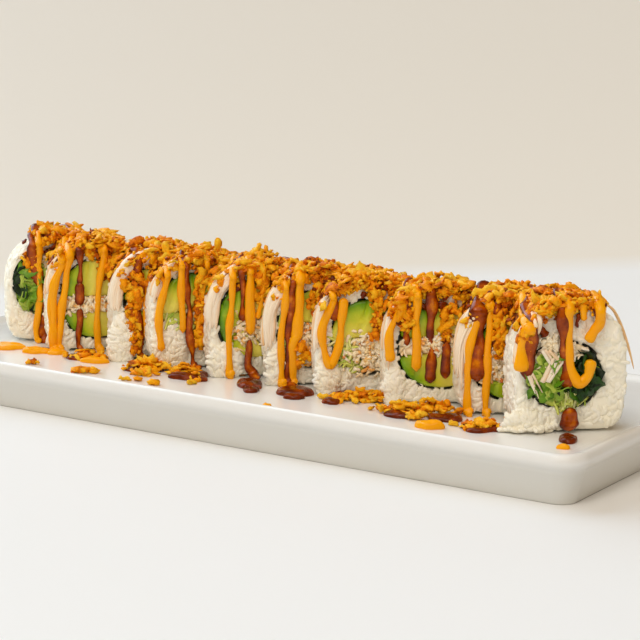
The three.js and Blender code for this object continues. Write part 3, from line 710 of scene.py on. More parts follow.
def crab_threads(cut, line, middle, rng, lump):
    """Short bent threads strewn over both faces of the filling, each turned at random and tipped out a little. A
    lump of more of them bulges over the cut face."""
    few = THREADS_A_FACE
    count = 2 * few
    rim = line[rng.integers(0, len(line), count)]
    place = middle + np.sqrt(rng.uniform(0, 0.92, (count, 1))) * (rim - middle)
    front = np.arange(count) < few
    proud = rng.uniform(-0.1, 1.5, count)
    if lump:
        across, up, half_width, half_height, extra = lump
        spread = np.clip(rng.normal(0, 0.48, (extra, 2)), -1, 1)
        place = np.concatenate([place, [across, up] + spread * [half_width, half_height]])
        front = np.concatenate([front, np.ones(extra, bool)])
        proud = np.concatenate([proud, 0.4 + rng.uniform(0, 1.4, extra) * (1 - 0.4 * np.sum(spread**2, -1))])
        count += extra
    centres = np.stack([place[:, 0], np.where(front, -proud, cut["thick"] + proud), place[:, 1]], -1)
    lie = rng.uniform(0, np.pi, count)
    along = np.stack([np.cos(lie), rng.normal(0, 0.35, count), np.sin(lie)], -1)
    normal = np.where(front[:, None], [0.0, -1, 0], [0.0, 1, 0])
    template, faces = pellet(3, 4, 3)
    size = np.stack([rng.uniform(0.8, 2.2, count), rng.uniform(0.45, 1.0, count), rng.uniform(0.4, 0.75, count)], -1)
    shapes = template[None] * size[:, None]
    shapes[..., 1] += rng.normal(0, 0.14, (count, 1)) * shapes[..., 0] ** 2
    points, faces = scatter(shapes, faces, centres, along, normal)
    tint = rng.uniform(0, 1, count) * np.where(lump is CRAB_LUMPS[10], 0.5, 1)
    return points, faces, np.repeat(tint, len(template))


crab_look = crab_finish()
for number, cut in enumerate(SLICES, 1):
    sides = half_planes(cut, CRABS.get(number, "middle"))
    seed = 400 + number

    def crab_relief(places, back):
        spots = np.concatenate([places, 0 * places[..., :1] + 9 * back], -1)
        return 0.4 + 0.6 * lumps(spots, 2.6, seed) + 0.35 * lumps(spots, 1.1, seed + 1)

    middle, line = filling_line(cut, sides)
    block_points, block_faces = block(cut, sides, crab_relief, rings=18)
    rng = np.random.default_rng(seed + 50)
    thread_points, thread_faces, thread_tint = crab_threads(cut, line, middle, rng, CRAB_LUMPS.get(number))
    points, faces = join((block_points, block_faces), (thread_points, thread_faces))
    tints = np.concatenate([np.full(len(block_points), 0.5), thread_tint])
    make_piece(f"crab_filling_{number}", on_slice(cut, points), faces, crab_look, "crab", [f"crab_{number}"],
               tint=tints)

# The cucumber: peeled and cut into fine pale green shreds, which lie loosely against the rice.
SHREDS_A_FACE = 46


def cucumber_finish():
    finish = Finish("cucumber_shreds", Roughness=0.25, Specular_IOR_Level=0.35)
    body = finish.ramp(finish.mark("tint"), (0.0, colour(244, 242, 176)), (0.6, colour(216, 226, 90)),
                       (1.0, colour(150, 196, 30)))
    finish.set(Base_Color=finish.mix(finish.clouds(2.0) * 0.4, body, colour(222, 222, 150)))
    finish.set(Normal=finish.bump(finish.clouds(0.9), 0.15))
    return finish


cucumber_look = cucumber_finish()
for number in (4, 6, 7, 10):
    cut = SLICES[number - 1]
    sides = half_planes(cut, "lower")
    middle, line = filling_line(cut, sides)
    rng = np.random.default_rng(500 + number)

    def shred_relief(places, back):
        return 0.1 + 0.4 * lumps(np.concatenate([places, 0 * places[..., :1] + 7 * back], -1), 2.2, 510)

    block_points, block_faces = block(cut, sides, shred_relief, rings=10)
    count = 2 * SHREDS_A_FACE
    rim = line[rng.integers(0, len(line), count)]
    place = middle + np.sqrt(rng.uniform(0, 0.85, (count, 1))) * (rim - middle)
    front = np.arange(count) < SHREDS_A_FACE
    proud = rng.uniform(-0.1, 0.9, count)
    centres = np.stack([place[:, 0], np.where(front, -proud, cut["thick"] + proud), place[:, 1]], -1)
    lie = rng.normal(1.1, 0.5, count)
    along = np.stack([np.cos(lie), rng.normal(0, 0.25, count), np.sin(lie)], -1)
    template, faces = pellet(5, 4, 5)
    size = np.stack([rng.uniform(2, 4.2, count), rng.uniform(0.4, 0.8, count), rng.uniform(0.3, 0.5, count)], -1)
    shapes = template[None] * size[:, None]
    shapes[..., 1] += rng.normal(0, 0.05, (count, 1)) * shapes[..., 0] ** 2
    shred_points, shred_faces = scatter(shapes, faces, centres, along, np.where(front[:, None], [0.0, -1, 0], [0.0, 1, 0]))
    points, faces = join((block_points, block_faces), (shred_points, shred_faces))
    tints = np.concatenate([np.full(len(block_points), 0.7), np.repeat(rng.uniform(0, 1, count), len(template))])
    make_piece(f"cucumber_{number}_shreds", on_slice(cut, points), faces, cucumber_look, "cucumber",
               [f"cucumber_{number}"], tint=tints)

# The lettuce: soft green leaf, torn and folded to and fro before it was rolled in, so that its frilled edges
# show at the cut as a bundle of thin wavy layers.
LEAF_THICKNESS = 0.4
# slice, the place across it where the leaf turns from one tone to the other, tone on its left and on its right
LEAVES = [(1, -15.5, 0.05, 0.75), (10, -3, 0.8, 0.15)]
LEAF_LUMPS = {1: (-12.5, 28, 5, 9, 16), 10: (-11, 25, 7, 9, 26)}


def lettuce_finish():
    finish = Finish("lettuce_leaf", Roughness=0.4, Coat_Weight=0.1, Coat_Roughness=0.25, Specular_IOR_Level=0.3)
    tone = finish.mark("tint") + (finish.clouds(2.4, 3.0) - 0.5) * 0.5
    body = finish.ramp(tone, (0.0, colour(14, 34, 4)), (0.3, colour(34, 84, 6)), (0.65, colour(112, 160, 26)),
                       (1.0, colour(188, 208, 88)))
    finish.set(Base_Color=body)
    finish.set(Normal=finish.bump(finish.clouds(1.3, 3.0), 0.25))
    return finish


def leaf_bits(count, rng, least, most):
    """Torn bits of leaf: discs whose reach is a sum of sines of the angle, dished and frilled by sines that grow
    towards the rim. The same disc lies a little lower and closes each bit from below."""
    sides = 16
    turn = (np.arange(sides) * 2 * np.pi / sides)[None, None, :]
    share = np.array([0.4, 0.75, 1, 0.97, 0.72, 0.38])[None, :, None]
    lower = np.array([0, 0, 0, 1, 1, 1])[None, :, None]
    phase = rng.uniform(0, 2 * np.pi, (4, count, 1, 1))
    reach = rng.uniform(least, most, (count, 1, 1)) * (1 + 0.2 * np.sin(2 * turn + phase[0]))
    reach = reach * (1 + 0.14 * np.sin(5 * turn + phase[1]))
    frill = rng.uniform(0.3, 0.7, (count, 1, 1)) * share**3 * np.sin(4 * turn + phase[2])
    dish = rng.normal(0, 0.9, (count, 1, 1)) * share**2 * np.cos(2 * turn + phase[3])
    height = frill + dish - LEAF_THICKNESS * lower
    rings = np.stack([reach * share * np.cos(turn), reach * share * np.sin(turn), height], -1)
    poles = np.tile([[0, 0, 0], [0, 0, -LEAF_THICKNESS]], (count, 1, 1))
    points = np.concatenate([rings.reshape(count, -1, 3), poles], 1)
    total = 6 * sides
    faces = [wall_faces(6, sides), fan_faces(0, sides, total, False), fan_faces(total - sides, sides, total + 1, True)]
    return points, faces


lettuce_look = lettuce_finish()
for number, border, left_tone, right_tone in LEAVES:
    cut = SLICES[number - 1]
    sides = half_planes(cut, "middle")
    if number == 1:
        sides = sides[:1]
    rng = np.random.default_rng(600 + number)

    def leaf_relief(places, back):
        return -0.4 + 0.8 * lumps(np.concatenate([places, 0 * places[..., :1] + 5 * back], -1), 3.5, 610)

    block_points, block_faces = block(cut, sides, leaf_relief)
    middle, line = filling_line(cut, sides)
    across, up, half_width, half_height, extra = LEAF_LUMPS[number]
    count = 76 + extra
    rim = line[rng.integers(0, len(line), 76)]
    place = middle + np.sqrt(rng.uniform(0, 0.8, (76, 1))) * (rim - middle)
    spread = np.clip(rng.normal(0, 0.45, (extra, 2)), -1, 1)
    place = np.concatenate([place, [across, up] + spread * [half_width, half_height]])
    front = (np.arange(count) < 38) | (np.arange(count) >= 76)
    proud = rng.uniform(-0.1, 1.2, count) + 0.7 * (np.arange(count) >= 76)
    centres = np.stack([place[:, 0], np.where(front, -proud, cut["thick"] + proud), place[:, 1]], -1)
    lie = rng.uniform(0, 2 * np.pi, count)
    along = np.stack([np.cos(lie), rng.normal(0, 0.4, count), np.sin(lie)], -1)
    normal = rng.normal(0, 0.4, (count, 3)) + np.where(front[:, None], [0.0, -1, 0], [0.0, 1, 0])
    shapes, faces = leaf_bits(count, rng, 2.2, 4.6)
    bit_points, bit_faces = scatter(shapes, faces, centres, along, normal)
    points, faces = join((block_points, block_faces), (bit_points, bit_faces))
    tone = np.where(place[:, 0] < border, left_tone, right_tone) + rng.normal(0, 0.16, count)
    tints = np.concatenate([np.full(len(block_points), 0.1), np.repeat(tone, shapes.shape[1])])
    make_piece(f"lettuce_leaf_{number}", on_slice(cut, points), faces, lettuce_look, "lettuce",
               [f"lettuce_{number}"], tint=tints)

# The crisps: fried flakes of batter and onion, golden with browner edges, heaped over the whole roll while the
# sauce was wet. They are as long as a fingernail at most, and fine crumbs fill the space between them.
HEAP_DEPTH = 4.2
CRISP_KINDS = [
    # how many on a slice, half lengths, half widths, half thicknesses
    (44, (2.4, 5.0), (1.5, 2.8), (0.8, 1.5)),
    (104, (1.3, 2.9), (0.9, 1.7), (0.6, 1.1)),
    (180, (0.6, 1.5), (0.5, 1.0), (0.4, 0.8)),
]
BROW_CRISPS = (10, 34, 56)
DRIFTS = [
    # slice, across, top, bottom, half width, how many
    (1, -11, 42, 33, 4, 50),
    (2, 5, 44, 33, 6, 80),
    (3, -14.5, 40, 4, 3.4, 190),
    (3, -5, 44, 34, 5, 50),
    (4, -1.5, 44, 10, 3.0, 150),
    (5, -1, 45, 32, 5, 70),
    (6, -1, 44, 30, 5, 80),
    (6, -8, 19, 9, 5, 40),
    (7, 2.5, 45, 24, 3, 90),
    (8, -15, 44, 32, 4.5, 80),
    (8, 3, 42, 27, 3, 60),
    (9, -7, 45, 24, 3.5, 90),
    (10, -20, 44, 30, 3.5, 70),
]
CRISPS_BY_HAND = [
    # slice, middle (across, into, up), way it points, half length, half width, half thickness, tint
    (1, (-4, 8, 51.5), (1, 0, 0.15), 5.2, 2.2, 1.5, 0.15),
    (3, (-12, 8, 53), (1, 0.2, 0.35), 4.2, 2.0, 1.3, 0.75),
    (3, (-5, 7, 52.5), (1, -0.2, 0.1), 3.8, 2.2, 1.5, 0.3),
    (4, (8.1, 8, 53.0), (0.1, 0, 1), 4.4, 1.8, 1.2, 0.12),
    (4, (2, 8, 53), (1, 0, 0.2), 3.6, 1.9, 1.3, 0.3),
    (5, (-2, 8, 53.9), (0.75, 0, 0.6), 4.6, 1.6, 1.1, 0.2),
    (6, (-4, 8, 53), (1, 0.3, 0.1), 4.0, 2.1, 1.4, 0.8),
    (7, (-5, 6, 51.6), (1, 0.2, 0.1), 6.2, 3.0, 2.0, 0.1),
    (7, (4.5, 6, 49.8), (1, 0, -0.35), 5.0, 2.6, 1.8, 0.15),
    (9, (-12.5, 6, 50.5), (1, 0.1, 0.25), 5.6, 2.7, 1.7, 0.1),
    (9, (-2, 5, 50.5), (1, 0, -0.1), 5.0, 2.0, 1.4, 0.2),
    (10, (-12.5, 6, 52.3), (1, 0, -0.2), 5.6, 2.4, 1.5, 0.1),
    (10, (-1, 6, 53.6), (1, 0.3, -0.1), 4.6, 2.0, 1.4, 0.2),
]


def flakes(count, rng, lengths, widths, depths):
    """Flakes drawn one by one: rings of five points along a bent and twisted line, six of them or four in the
    finest, each point's reach drawn at random, so that the edges come out knobbly, with blunt ends and a pole at
    each of them."""
    sides = 5
    t = np.array([-0.96, -0.68, -0.24, 0.24, 0.68, 0.96] if lengths[1] > 1.6 else [-0.92, -0.38, 0.38, 0.92])
    rings_long = len(t)
    t = t[None, :, None]
    body = np.sqrt(1 - 0.95 * np.abs(t) ** 3)
    long = rng.uniform(*lengths, (count, 1, 1))
    wide = rng.uniform(*widths, (count, 1, 1)) * body * rng.uniform(0.7, 1.25, (count, rings_long, 1))
    deep = rng.uniform(*depths, (count, 1, 1)) * body * rng.uniform(0.75, 1.2, (count, rings_long, 1))
    turn = np.arange(sides)[None, None, :] * 2 * np.pi / sides + rng.uniform(-0.9, 0.9, (count, 1, 1)) * t
    rough = rng.uniform(0.6, 1.35, (count, rings_long, sides))
    jog = rng.normal(0, 0.07, (2, count, rings_long, 1)) * long
    x = long * t * rng.uniform(0.95, 1.05, (count, rings_long, 1)) + 0 * turn
    sway = rng.normal(0, 0.24, (count, 1, 1)) * long * t**2 + jog[0]
    lift = rng.normal(0, 0.24, (count, 1, 1)) * long * (t**2 - 0.3) + jog[1]
    rings = np.stack([x, sway + wide * rough * np.cos(turn), lift + deep * rough * np.sin(turn)], -1)
    poles = rings[:, [0, -1]].mean(2)
    poles[..., 0] *= 1.05
    points = np.concatenate([rings.reshape(count, -1, 3), poles], 1)
    total = rings_long * sides
    faces = [wall_faces(rings_long, sides), fan_faces(0, sides, total, False),
             fan_faces(total - sides, sides, total + 1, True)]
    return points, faces


def heap_floor(cut, seed):
    """The floor of the heap on a slice: rows over its top, each a closed section from the cut face to the back.
    Its upper side is lifted by a cosine of the angle and by lumps, its lower side lies on the rice."""
    spread = np.linspace(*cut.get("heaped", (-1, 1)), 40)
    angle = np.radians(90 - HEAP_SPREAD * spread)
    lift = HEAP_DEPTH * np.cos(spread * np.pi / 2.4)
    thick = cut["thick"]
    into = np.linspace(-0.5, thick + 0.5, 20)
    line = outer_line(cut, angle[:, None] + 0 * into, -GAP - 0.5 * lift[:, None] + 0 * into)
    spots = np.stack([line[..., 0], into + 0 * angle[:, None], line[..., 1]], -1)
    rise = 0.45 * lift[:, None] + 1.0 * lumps(spots, 3.2, seed) + 0.5 * lumps(spots, 1.5, seed + 1)
    upper = outer_line(cut, angle[:, None] + 0 * into, -GAP - np.clip(rise, 0.1, None))
    lower = outer_line(cut, angle[:, None] + 0 * into[:2], -GAP + 1.2 + 0 * into[:2])
    top = np.stack([upper[..., 0], into + 0 * upper[..., 0], upper[..., 1]], -1)
    ends = np.array([thick - 0.1, 0.1])
    bottom = np.stack([lower[..., 0], ends + 0 * lower[..., 0], lower[..., 1]], -1)
    grid = np.concatenate([top, bottom], 1)
    rows, columns = grid.shape[:2]
    total = rows * columns
    points = np.concatenate([grid.reshape(-1, 3), [grid[0].mean(0)], [grid[-1].mean(0)]])
    faces = [wall_faces(rows, columns), fan_faces(0, columns, total, False),
             fan_faces(total - columns, columns, total + 1, True)]
    return points, faces


def crisp_finish():
    finish = Finish("fried_crisps", Specular_IOR_Level=0.15)
    tone = finish.mark("tint") + (finish.clouds(1.8, 3.0, 0.6) - 0.5) * 1.0
    body = finish.ramp(tone, (0.0, colour(255, 202, 44)), (0.3, colour(255, 178, 10)), (0.56, colour(255, 156, 0)),
                       (0.8, colour(218, 110, 0)), (1.0, colour(104, 42, 0)))
    finish.set(Base_Color=body, Roughness=0.35 + finish.clouds(1.2) * 0.25)
    finish.set(Normal=finish.bump(finish.clouds(0.9, 3.0, 0.6), 0.6))
    return finish


def crisp_swarm(seed, kinds, big):
    """Flakes of each kind on the heap of each slice, between its two faces and over their edges, and in the drifts
    that hang down over a face. Each flake lies in the heap's surface, tipped out of it at random."""
    rng = np.random.default_rng(seed)
    parts, tints = [], []
    for cut in SLICES:
        for count, lengths, widths, depths in kinds:
            low, high = cut.get("heaped", (-1, 1))
            spread = (low + high) / 2 + (high - low) / 2 * np.clip(rng.normal(0, 0.5, count), -1, 1)
            angle = np.radians(90 - HEAP_SPREAD * spread)
            into = rng.uniform(-3.4, cut["thick"] + 3.0, count)
            lift = HEAP_DEPTH * np.cos(spread * np.pi / 2.4) * rng.uniform(0.15, 1.15, count)
            line = outer_line(cut, angle, -GAP - lift)
            ahead = outer_line(cut, angle + 0.02, -GAP - lift) - line
            out = np.stack([ahead[:, 1], 0 * into, -ahead[:, 0]], -1)
            out /= np.linalg.norm(out, axis=-1, keepdims=True)
            side = np.stack([ahead[:, 0], 0 * into, ahead[:, 1]], -1)
            side /= np.linalg.norm(side, axis=-1, keepdims=True)
            lie = rng.uniform(0, np.pi, count)[:, None]
            tip = rng.normal(0, 0.34, (count, 1))
            along = np.cos(lie) * side + np.sin(lie) * [0, 1, 0] + tip * out
            normal = out + rng.normal(0, 0.4, (count, 3))
            centres = np.stack([line[:, 0], into, line[:, 1]], -1)
            shapes, faces = flakes(count, rng, lengths, widths, depths)
            points, faces = scatter(shapes, faces, centres, along, normal)
            parts.append((on_slice(cut, points), faces))
            tints.append(np.repeat(rng.beta(1.3, 2.0, count), shapes.shape[1]))
        for kind, brow in zip(CRISP_KINDS, BROW_CRISPS):
            if kind not in kinds:
                continue
            front = np.arange(2 * brow) < brow
            spread = (low + high) / 2 + (high - low) / 2 * np.clip(rng.normal(0, 0.5, 2 * brow), -1, 1)
            angle = np.radians(90 - HEAP_SPREAD * spread)
            line = outer_line(cut, angle, np.abs(rng.normal(0, 1.7, 2 * brow)) - 1.4)
            proud = rng.uniform(0.1, 2.2, 2 * brow)
            centres = np.stack([line[:, 0], np.where(front, -proud, cut["thick"] + proud), line[:, 1]], -1)
            lie = rng.uniform(0, np.pi, 2 * brow)
            along = np.stack([np.cos(lie), rng.normal(0, 0.4, 2 * brow), np.sin(lie)], -1)
            normal = rng.normal(0, 0.5, (2 * brow, 3)) + np.where(front[:, None], [0.0, -1, 0], [0.0, 1, 0])
            shapes, faces = flakes(2 * brow, rng, np.array(kind[1]) * 0.8, kind[2], kind[3])
            points, faces = scatter(shapes, faces, centres, along, normal)
            parts.append((on_slice(cut, points), faces))
            tints.append(np.repeat(rng.beta(1.4, 2.1, 2 * brow), shapes.shape[1]))
    for number, across, top, bottom, half, count in DRIFTS:
        cut = SLICES[number - 1]
        for share, (_, lengths, widths, depths) in zip((0.12, 0.38, 0.5), CRISP_KINDS):
            if (share == 0.5) == big:
                continue
            few = max(3, int(count * share))
            fall = rng.uniform(0, 1, few)
            place = across + rng.normal(0, 0.5, few) * half * (1 - 0.35 * fall)
            up = top + (bottom - top) * fall
            into = rng.uniform(-2.6, 0.2, few) - 1.2 * (1 - fall)
            lie = rng.normal(1.57, 0.7, few)
            along = np.stack([np.cos(lie), rng.normal(0, 0.3, few), np.sin(lie)], -1)
            normal = rng.normal(0, 0.5, (few, 3)) + [0, -1, 0]
            shapes, faces = flakes(few, rng, np.array(lengths) * 0.8, widths, depths)
            points, faces = scatter(shapes, faces, np.stack([place, into, up], -1), along, normal)
            parts.append((on_slice(cut, points), faces))
            tints.append(np.repeat(rng.beta(1.6, 2.0, few), shapes.shape[1]))
    points, faces = join(*parts)
    return points, faces, np.concatenate(tints)


crisp_look = crisp_finish()
floor_parts = [heap_floor(cut, 700 + number) for number, cut in enumerate(SLICES)]
floor_points, floor_faces = join(*[(on_slice(cut, part[0]), part[1]) for cut, part in zip(SLICES, floor_parts)])
flake_points, flake_faces, flake_tint = crisp_swarm(710, CRISP_KINDS[:2], True)
rng = np.random.default_rng(730)
hand_parts, hand_tints = [], []
for number, middle, way, half_length, half_width, half_depth, tint in CRISPS_BY_HAND:
    shapes, faces = flakes(1, rng, (half_length,) * 2, (half_width,) * 2, (half_depth,) * 2)
    part = scatter(shapes, faces, np.array([middle], float), np.array([way], float), np.array([[0.0, -1, 0.2]]))
    hand_parts.append((on_slice(SLICES[number - 1], part[0]), part[1]))
    hand_tints.append(np.full(len(part[0]), tint))
points, faces = join((floor_points, floor_faces), (flake_points, flake_faces), *hand_parts)
# The heap's floor takes the darkest brown of the crisps: painted shade in the gaps between the flakes.
tints = np.concatenate([np.full(len(floor_points), 1.0), flake_tint, *hand_tints])
make_piece("crisp_heap", points, faces, crisp_look, "topping", ["topping"], tint=tints)
crumb_points, crumb_faces, crumb_tint = crisp_swarm(720, CRISP_KINDS[2:], False)
make_piece("crisp_crumbs", crumb_points, crumb_faces, crisp_look, "topping", ["topping"], tint=crumb_tint)

# The pulled crab strips: sticks of imitation crab torn along their fibres and laid round the outer rims before the
# crisps went on. Their cream ends follow the rim beside the cut faces, and some hang down loose.
STRIPS = [
    # slice, angles from which and to which it follows the rim, half width, how far below its start it hangs
    (2, 168, 116, 2.0, 3),
    (3, 174, 72, 2.8, 4),
    (4, 162, 100, 2.4, 0),
    (5, 174, 104, 2.7, 5),
    (6, 182, 108, 2.8, 7),
    (7, 178, 134, 2.0, 5),
    (8, 176, 124, 1.8, 9),
    (9, 178, 118, 2.7, 10),
    (10, 172, 108, 2.2, 1),
]
LOOSE_STRIPS = [
    # slice, places across and up the face
    (9, [(-18, 39), (-21.6, 28), (-21.5, 12)]),
    (10, [(-17, 42), (-21, 31), (-15, 17)]),
    (2, [(13, 42), (15, 30), (17, 22)]),
    (10, [(-13, 34), (-8.5, 28)]),
    (10, [(-12.5, 21), (-8, 30)]),
]


def top_at(cut, across):
    """The height of a slice's outline above a place across it."""
    half = cut.get("height", SLICE_HEIGHT) / 2
    part = np.clip(np.abs(across) / (SLICE_WIDTH / 2), 0, 0.98)
    return half + half * (1 - part**SLICE_SQUARENESS) ** (1 / SLICE_SQUARENESS)


def hanging_line(cut, places, proud, steps, run=0.0):
    """The path of something poured or laid over a slice: from the back over the heap's top and the edge of the cut
    face, then down the face through the given places, and with run set a way out over the plate."""
    path = []
    first = places[0][0]
    if places[0][1] > 37:
        back, thick = first + 5, cut["thick"]
        path = [(back + 1, thick + 1.6, top_at(cut, back) - 5), (back, thick + 1.2, top_at(cut, back) + 0.6),
                (back - 1, thick - 4, top_at(cut, back) + 3.2), (first + 2, thick / 2, top_at(cut, first) + 3.6),
                (first + 0.4, 2.5, top_at(cut, first) + 3.2), (first, -1.6 - proud, top_at(cut, first) + 0.4)]
    path += [(across, -proud - 0.8 * (k == 0), up) for k, (across, up) in enumerate(places)]
    if run:
        across = places[-1][0]
        path += [(across + 0.4, -proud - 0.9, 1.9), (across + 1, -3.4, 0.8), (across + 1.8, -1.4 - run, 0.6)]
    return smooth_line(path, steps)


def tube(path, radius, flatness, sides):
    """A tube of a radius at each place of a path, its section an ellipse that is flat towards the face."""
    ahead = np.gradient(path, axis=0)
    ahead /= np.linalg.norm(ahead, axis=-1, keepdims=True)
    out = np.array([0.0, -1, 0.3]) + 0 * ahead
    out -= np.sum(out * ahead, -1, keepdims=True) * ahead
    out /= np.linalg.norm(out, axis=-1, keepdims=True)
    side = np.cross(ahead, out)
    turn = np.arange(sides) * 2 * np.pi / sides
    reach = radius[:, None, None]
    rings = path[:, None] + reach * np.cos(turn)[None, :, None] * side[:, None]
    rings = rings + reach * flatness * np.sin(turn)[None, :, None] * out[:, None]
    total = len(path) * sides
    points = np.concatenate([rings.reshape(-1, 3), path[:1], path[-1:]])
    faces = [wall_faces(len(path), sides), fan_faces(0, sides, total, False),
             fan_faces(total - sides, sides, total + 1, True)]
    return points, faces


def strip_finish():
    finish = Finish("crab_strips", Roughness=0.4, Specular_IOR_Level=0.35)
    body = finish.mix(finish.mark("tint"), colour(255, 246, 230), colour(246, 190, 122))
    finish.set(Base_Color=finish.mix(finish.clouds(3.0, 3.0) * 0.5, body, colour(252, 232, 196)))
    finish.set(Normal=finish.bump(finish.clouds(1.0, 2.0), 0.15))
    return finish


rng = np.random.default_rng(800)
strip_parts, strip_tints = [], []
for number, start, stop, half_width, hang in STRIPS:
    cut = SLICES[number - 1]
    for fibre, corner in enumerate(np.radians(np.linspace(-25, 115, 9))):
        first, last = start + rng.uniform(-5, 5), stop - rng.uniform(-6, 10)
        angle = np.radians(np.linspace(first, last, 14))
        climb = np.linspace(0, 1, 14) ** 2 * (1.6 if number in (3, 4, 5) else 0.4)
        inset = 0.6 - half_width * 0.75 * np.sin(corner) + 0.25 * np.sin(np.linspace(0, 6, 14) + rng.uniform(0, 6))
        rim = outer_line(cut, angle, inset + 0.9 * np.cos(corner) - climb)
        into = 0.9 - 1.5 * np.cos(corner) + (fibre > 6) * 0.8 + 0.2 * np.sin(np.linspace(0, 5, 14) + fibre)
        path = np.stack([rim[:, 0], into, rim[:, 1]], -1)
        if hang:
            path = np.concatenate([[path[0] - [0.1, 0.1, hang * rng.uniform(0.5, 1.1)]], path])
        path = smooth_line(path, 4)
        u = np.linspace(-1, 1, len(path))
        radius = rng.uniform(0.75, 1.15) * np.sqrt(1 - 0.96 * u**6) * (1 + 0.1 * np.sin(7 * u + fibre))
        part = tube(path, radius * half_width / 2.4, 0.85, 8)
        strip_parts.append((on_slice(cut, part[0]), part[1]))
        strip_tints.append(np.full(len(part[0]), rng.uniform(0, 0.3) + (fibre in (0, 7, 8)) * rng.uniform(0.2, 0.9)))
for number, places in LOOSE_STRIPS:
    cut = SLICES[number - 1]
    for fibre in range(4):
        moved = [(across + (fibre - 1.5) * 1.0 + rng.normal(0, 0.3), up) for across, up in places]
        moved[-1] = (moved[-1][0] + rng.normal(0, 0.8), moved[-1][1] + rng.uniform(-3, 3))
        path = hanging_line(cut, moved, 1.0 + (number == 10) * 1.2 + rng.uniform(0, 0.9), 7)
        u = np.linspace(0, 1, len(path))
        part = tube(path, rng.uniform(0.55, 0.85) * np.sqrt(1 - 0.95 * u**9), 0.8, 8)
        strip_parts.append((on_slice(cut, part[0]), part[1]))
        strip_tints.append(np.full(len(part[0]), rng.uniform(0, 1) ** 2 * 0.7))
cut = SLICES[9]
for fibre in range(3):
    path = smooth_line([(15, 15 + fibre, 50), (20, 15 + fibre, 47), (24, 15.5 + fibre, 40.5), (27.5, 16 + fibre, 32),
                        (30.5 - fibre, 16 + fibre, 22 + 4 * fibre)], 7)
    u = np.linspace(0, 1, len(path))
    part = tube(path, 0.5 * np.sqrt(1 - 0.95 * u**9), 0.9, 8)
    strip_parts.append((on_slice(cut, part[0]), part[1]))
    strip_tints.append(np.full(len(part[0]), 1.4 - 0.6 * fibre))
points, faces = join(*strip_parts)
make_piece("crab_strips", points, faces, strip_finish(), "topping", ["topping"], tint=np.concatenate(strip_tints))

# The mayonnaise: thick spiced mayonnaise squeezed in a zigzag over the roll, so that strands of it run down over
# the cut faces and out on the plate.
MAYO_RADIUS = 1.5
PROUD = {1: 1.0, 2: 0.7, 4: 1.2, 5: 1.3, 6: 1.0, 7: 0.8, 8: 0.6, 9: 0.3, 10: 1.4}
MAYO_STRANDS = [
    # slice, thickness, places across and up the face, way out over the plate
    (1, 1.0, [(-9, 43), (-8.5, 18), (-10, 6)], 4),
    (2, 1.25, [(-17, 40), (-20.5, 30), (-20.5, 3)], 4),
    (2, 1.15, [(-14, 41), (-16.5, 22), (-18, 4)], 3),
    (2, 1.0, [(2, 43), (-0.5, 22), (0, 4)], 4),
    (2, 0.6, [(-18, 39), (-22.5, 24), (-21.5, 10)], 0),
    (3, 0.9, [(-6, 44), (-8.2, 32), (-8.8, 19), (-7.6, 10)], 0),
    (4, 1.1, [(-17, 40), (-20.5, 26), (-19, 8)], 0),
    (4, 1.05, [(-11, 43), (-9.5, 16)], 0),
    (4, 0.65, [(0.5, 43), (-0.6, 34), (-2.4, 21), (-3.4, 9)], 0),
    (5, 1.0, [(-14, 41), (-15, 20), (-14.5, 3)], 2),
    (5, 1.35, [(-6.5, 43), (-5.5, 19)], 0),
    (5, 0.6, [(-0.5, 41), (-1, 34), (-2.6, 26)], 0),
    (6, 1.0, [(-16, 40), (-17.5, 24), (-17, 2.5)], 3),
    (6, 1.45, [(-10, 43), (-10.5, 28), (-11, 20)], 0),
    (6, 1.2, [(-10.8, 23), (-12.4, 17), (-12, 4)], 2),
    (7, 1.2, [(-17, 40), (-21, 26), (-17, 13), (-13.5, 22), (-12.5, 34), (-12, 42)], 0),
    (8, 1.2, [(-17, 40), (-21.5, 30), (-20.5, 18)], 0),
    (8, 1.2, [(-10.5, 43), (-9.5, 14)], 0),
    (9, 1.15, [(-17, 40), (-19.5, 24), (-19, 3)], 2),
    (9, 1.1, [(-11.5, 43), (-11.5, 3.5)], 2),
    (10, 1.6, [(-20, 43), (-22.3, 36), (-22.2, 25)], 0),
    (10, 1.35, [(-4, 46), (-3.2, 36), (-1.6, 26), (1.6, 20.6), (5.4, 23.5), (6.4, 30)], 0),
    (10, 1.6, [(9, 45), (6.9, 41.5), (4.6, 37)], 0),
]
MAYO_BEHIND = [
    (1, 1.0, [(9, 43), (10, 22)], 0),
    (3, 1.1, [(12, 42), (14, 26)], 0),
    (4, 1.0, [(7, 43), (8, 30)], 0),
    (6, 1.2, [(14, 41), (13, 18)], 0),
    (7, 0.9, [(8, 43), (9, 27)], 0),
    (9, 1.1, [(12, 42), (15, 24)], 0),
    (10, 1.1, [(-3, 46), (-4, 24)], 0),
]


def mayo_finish():
    finish = Finish("spiced_mayonnaise", Coat_Weight=0.08, Coat_Roughness=0.08, Specular_IOR_Level=0.2)
    body = finish.mix(finish.clouds(9, 2.0), colour(255, 182, 4), colour(255, 162, 0))
    finish.set(Base_Color=body, Roughness=0.22 + finish.clouds(4) * 0.16)
    finish.set(Normal=finish.bump(finish.clouds(2.5, 2.0), 0.2))
    return finish


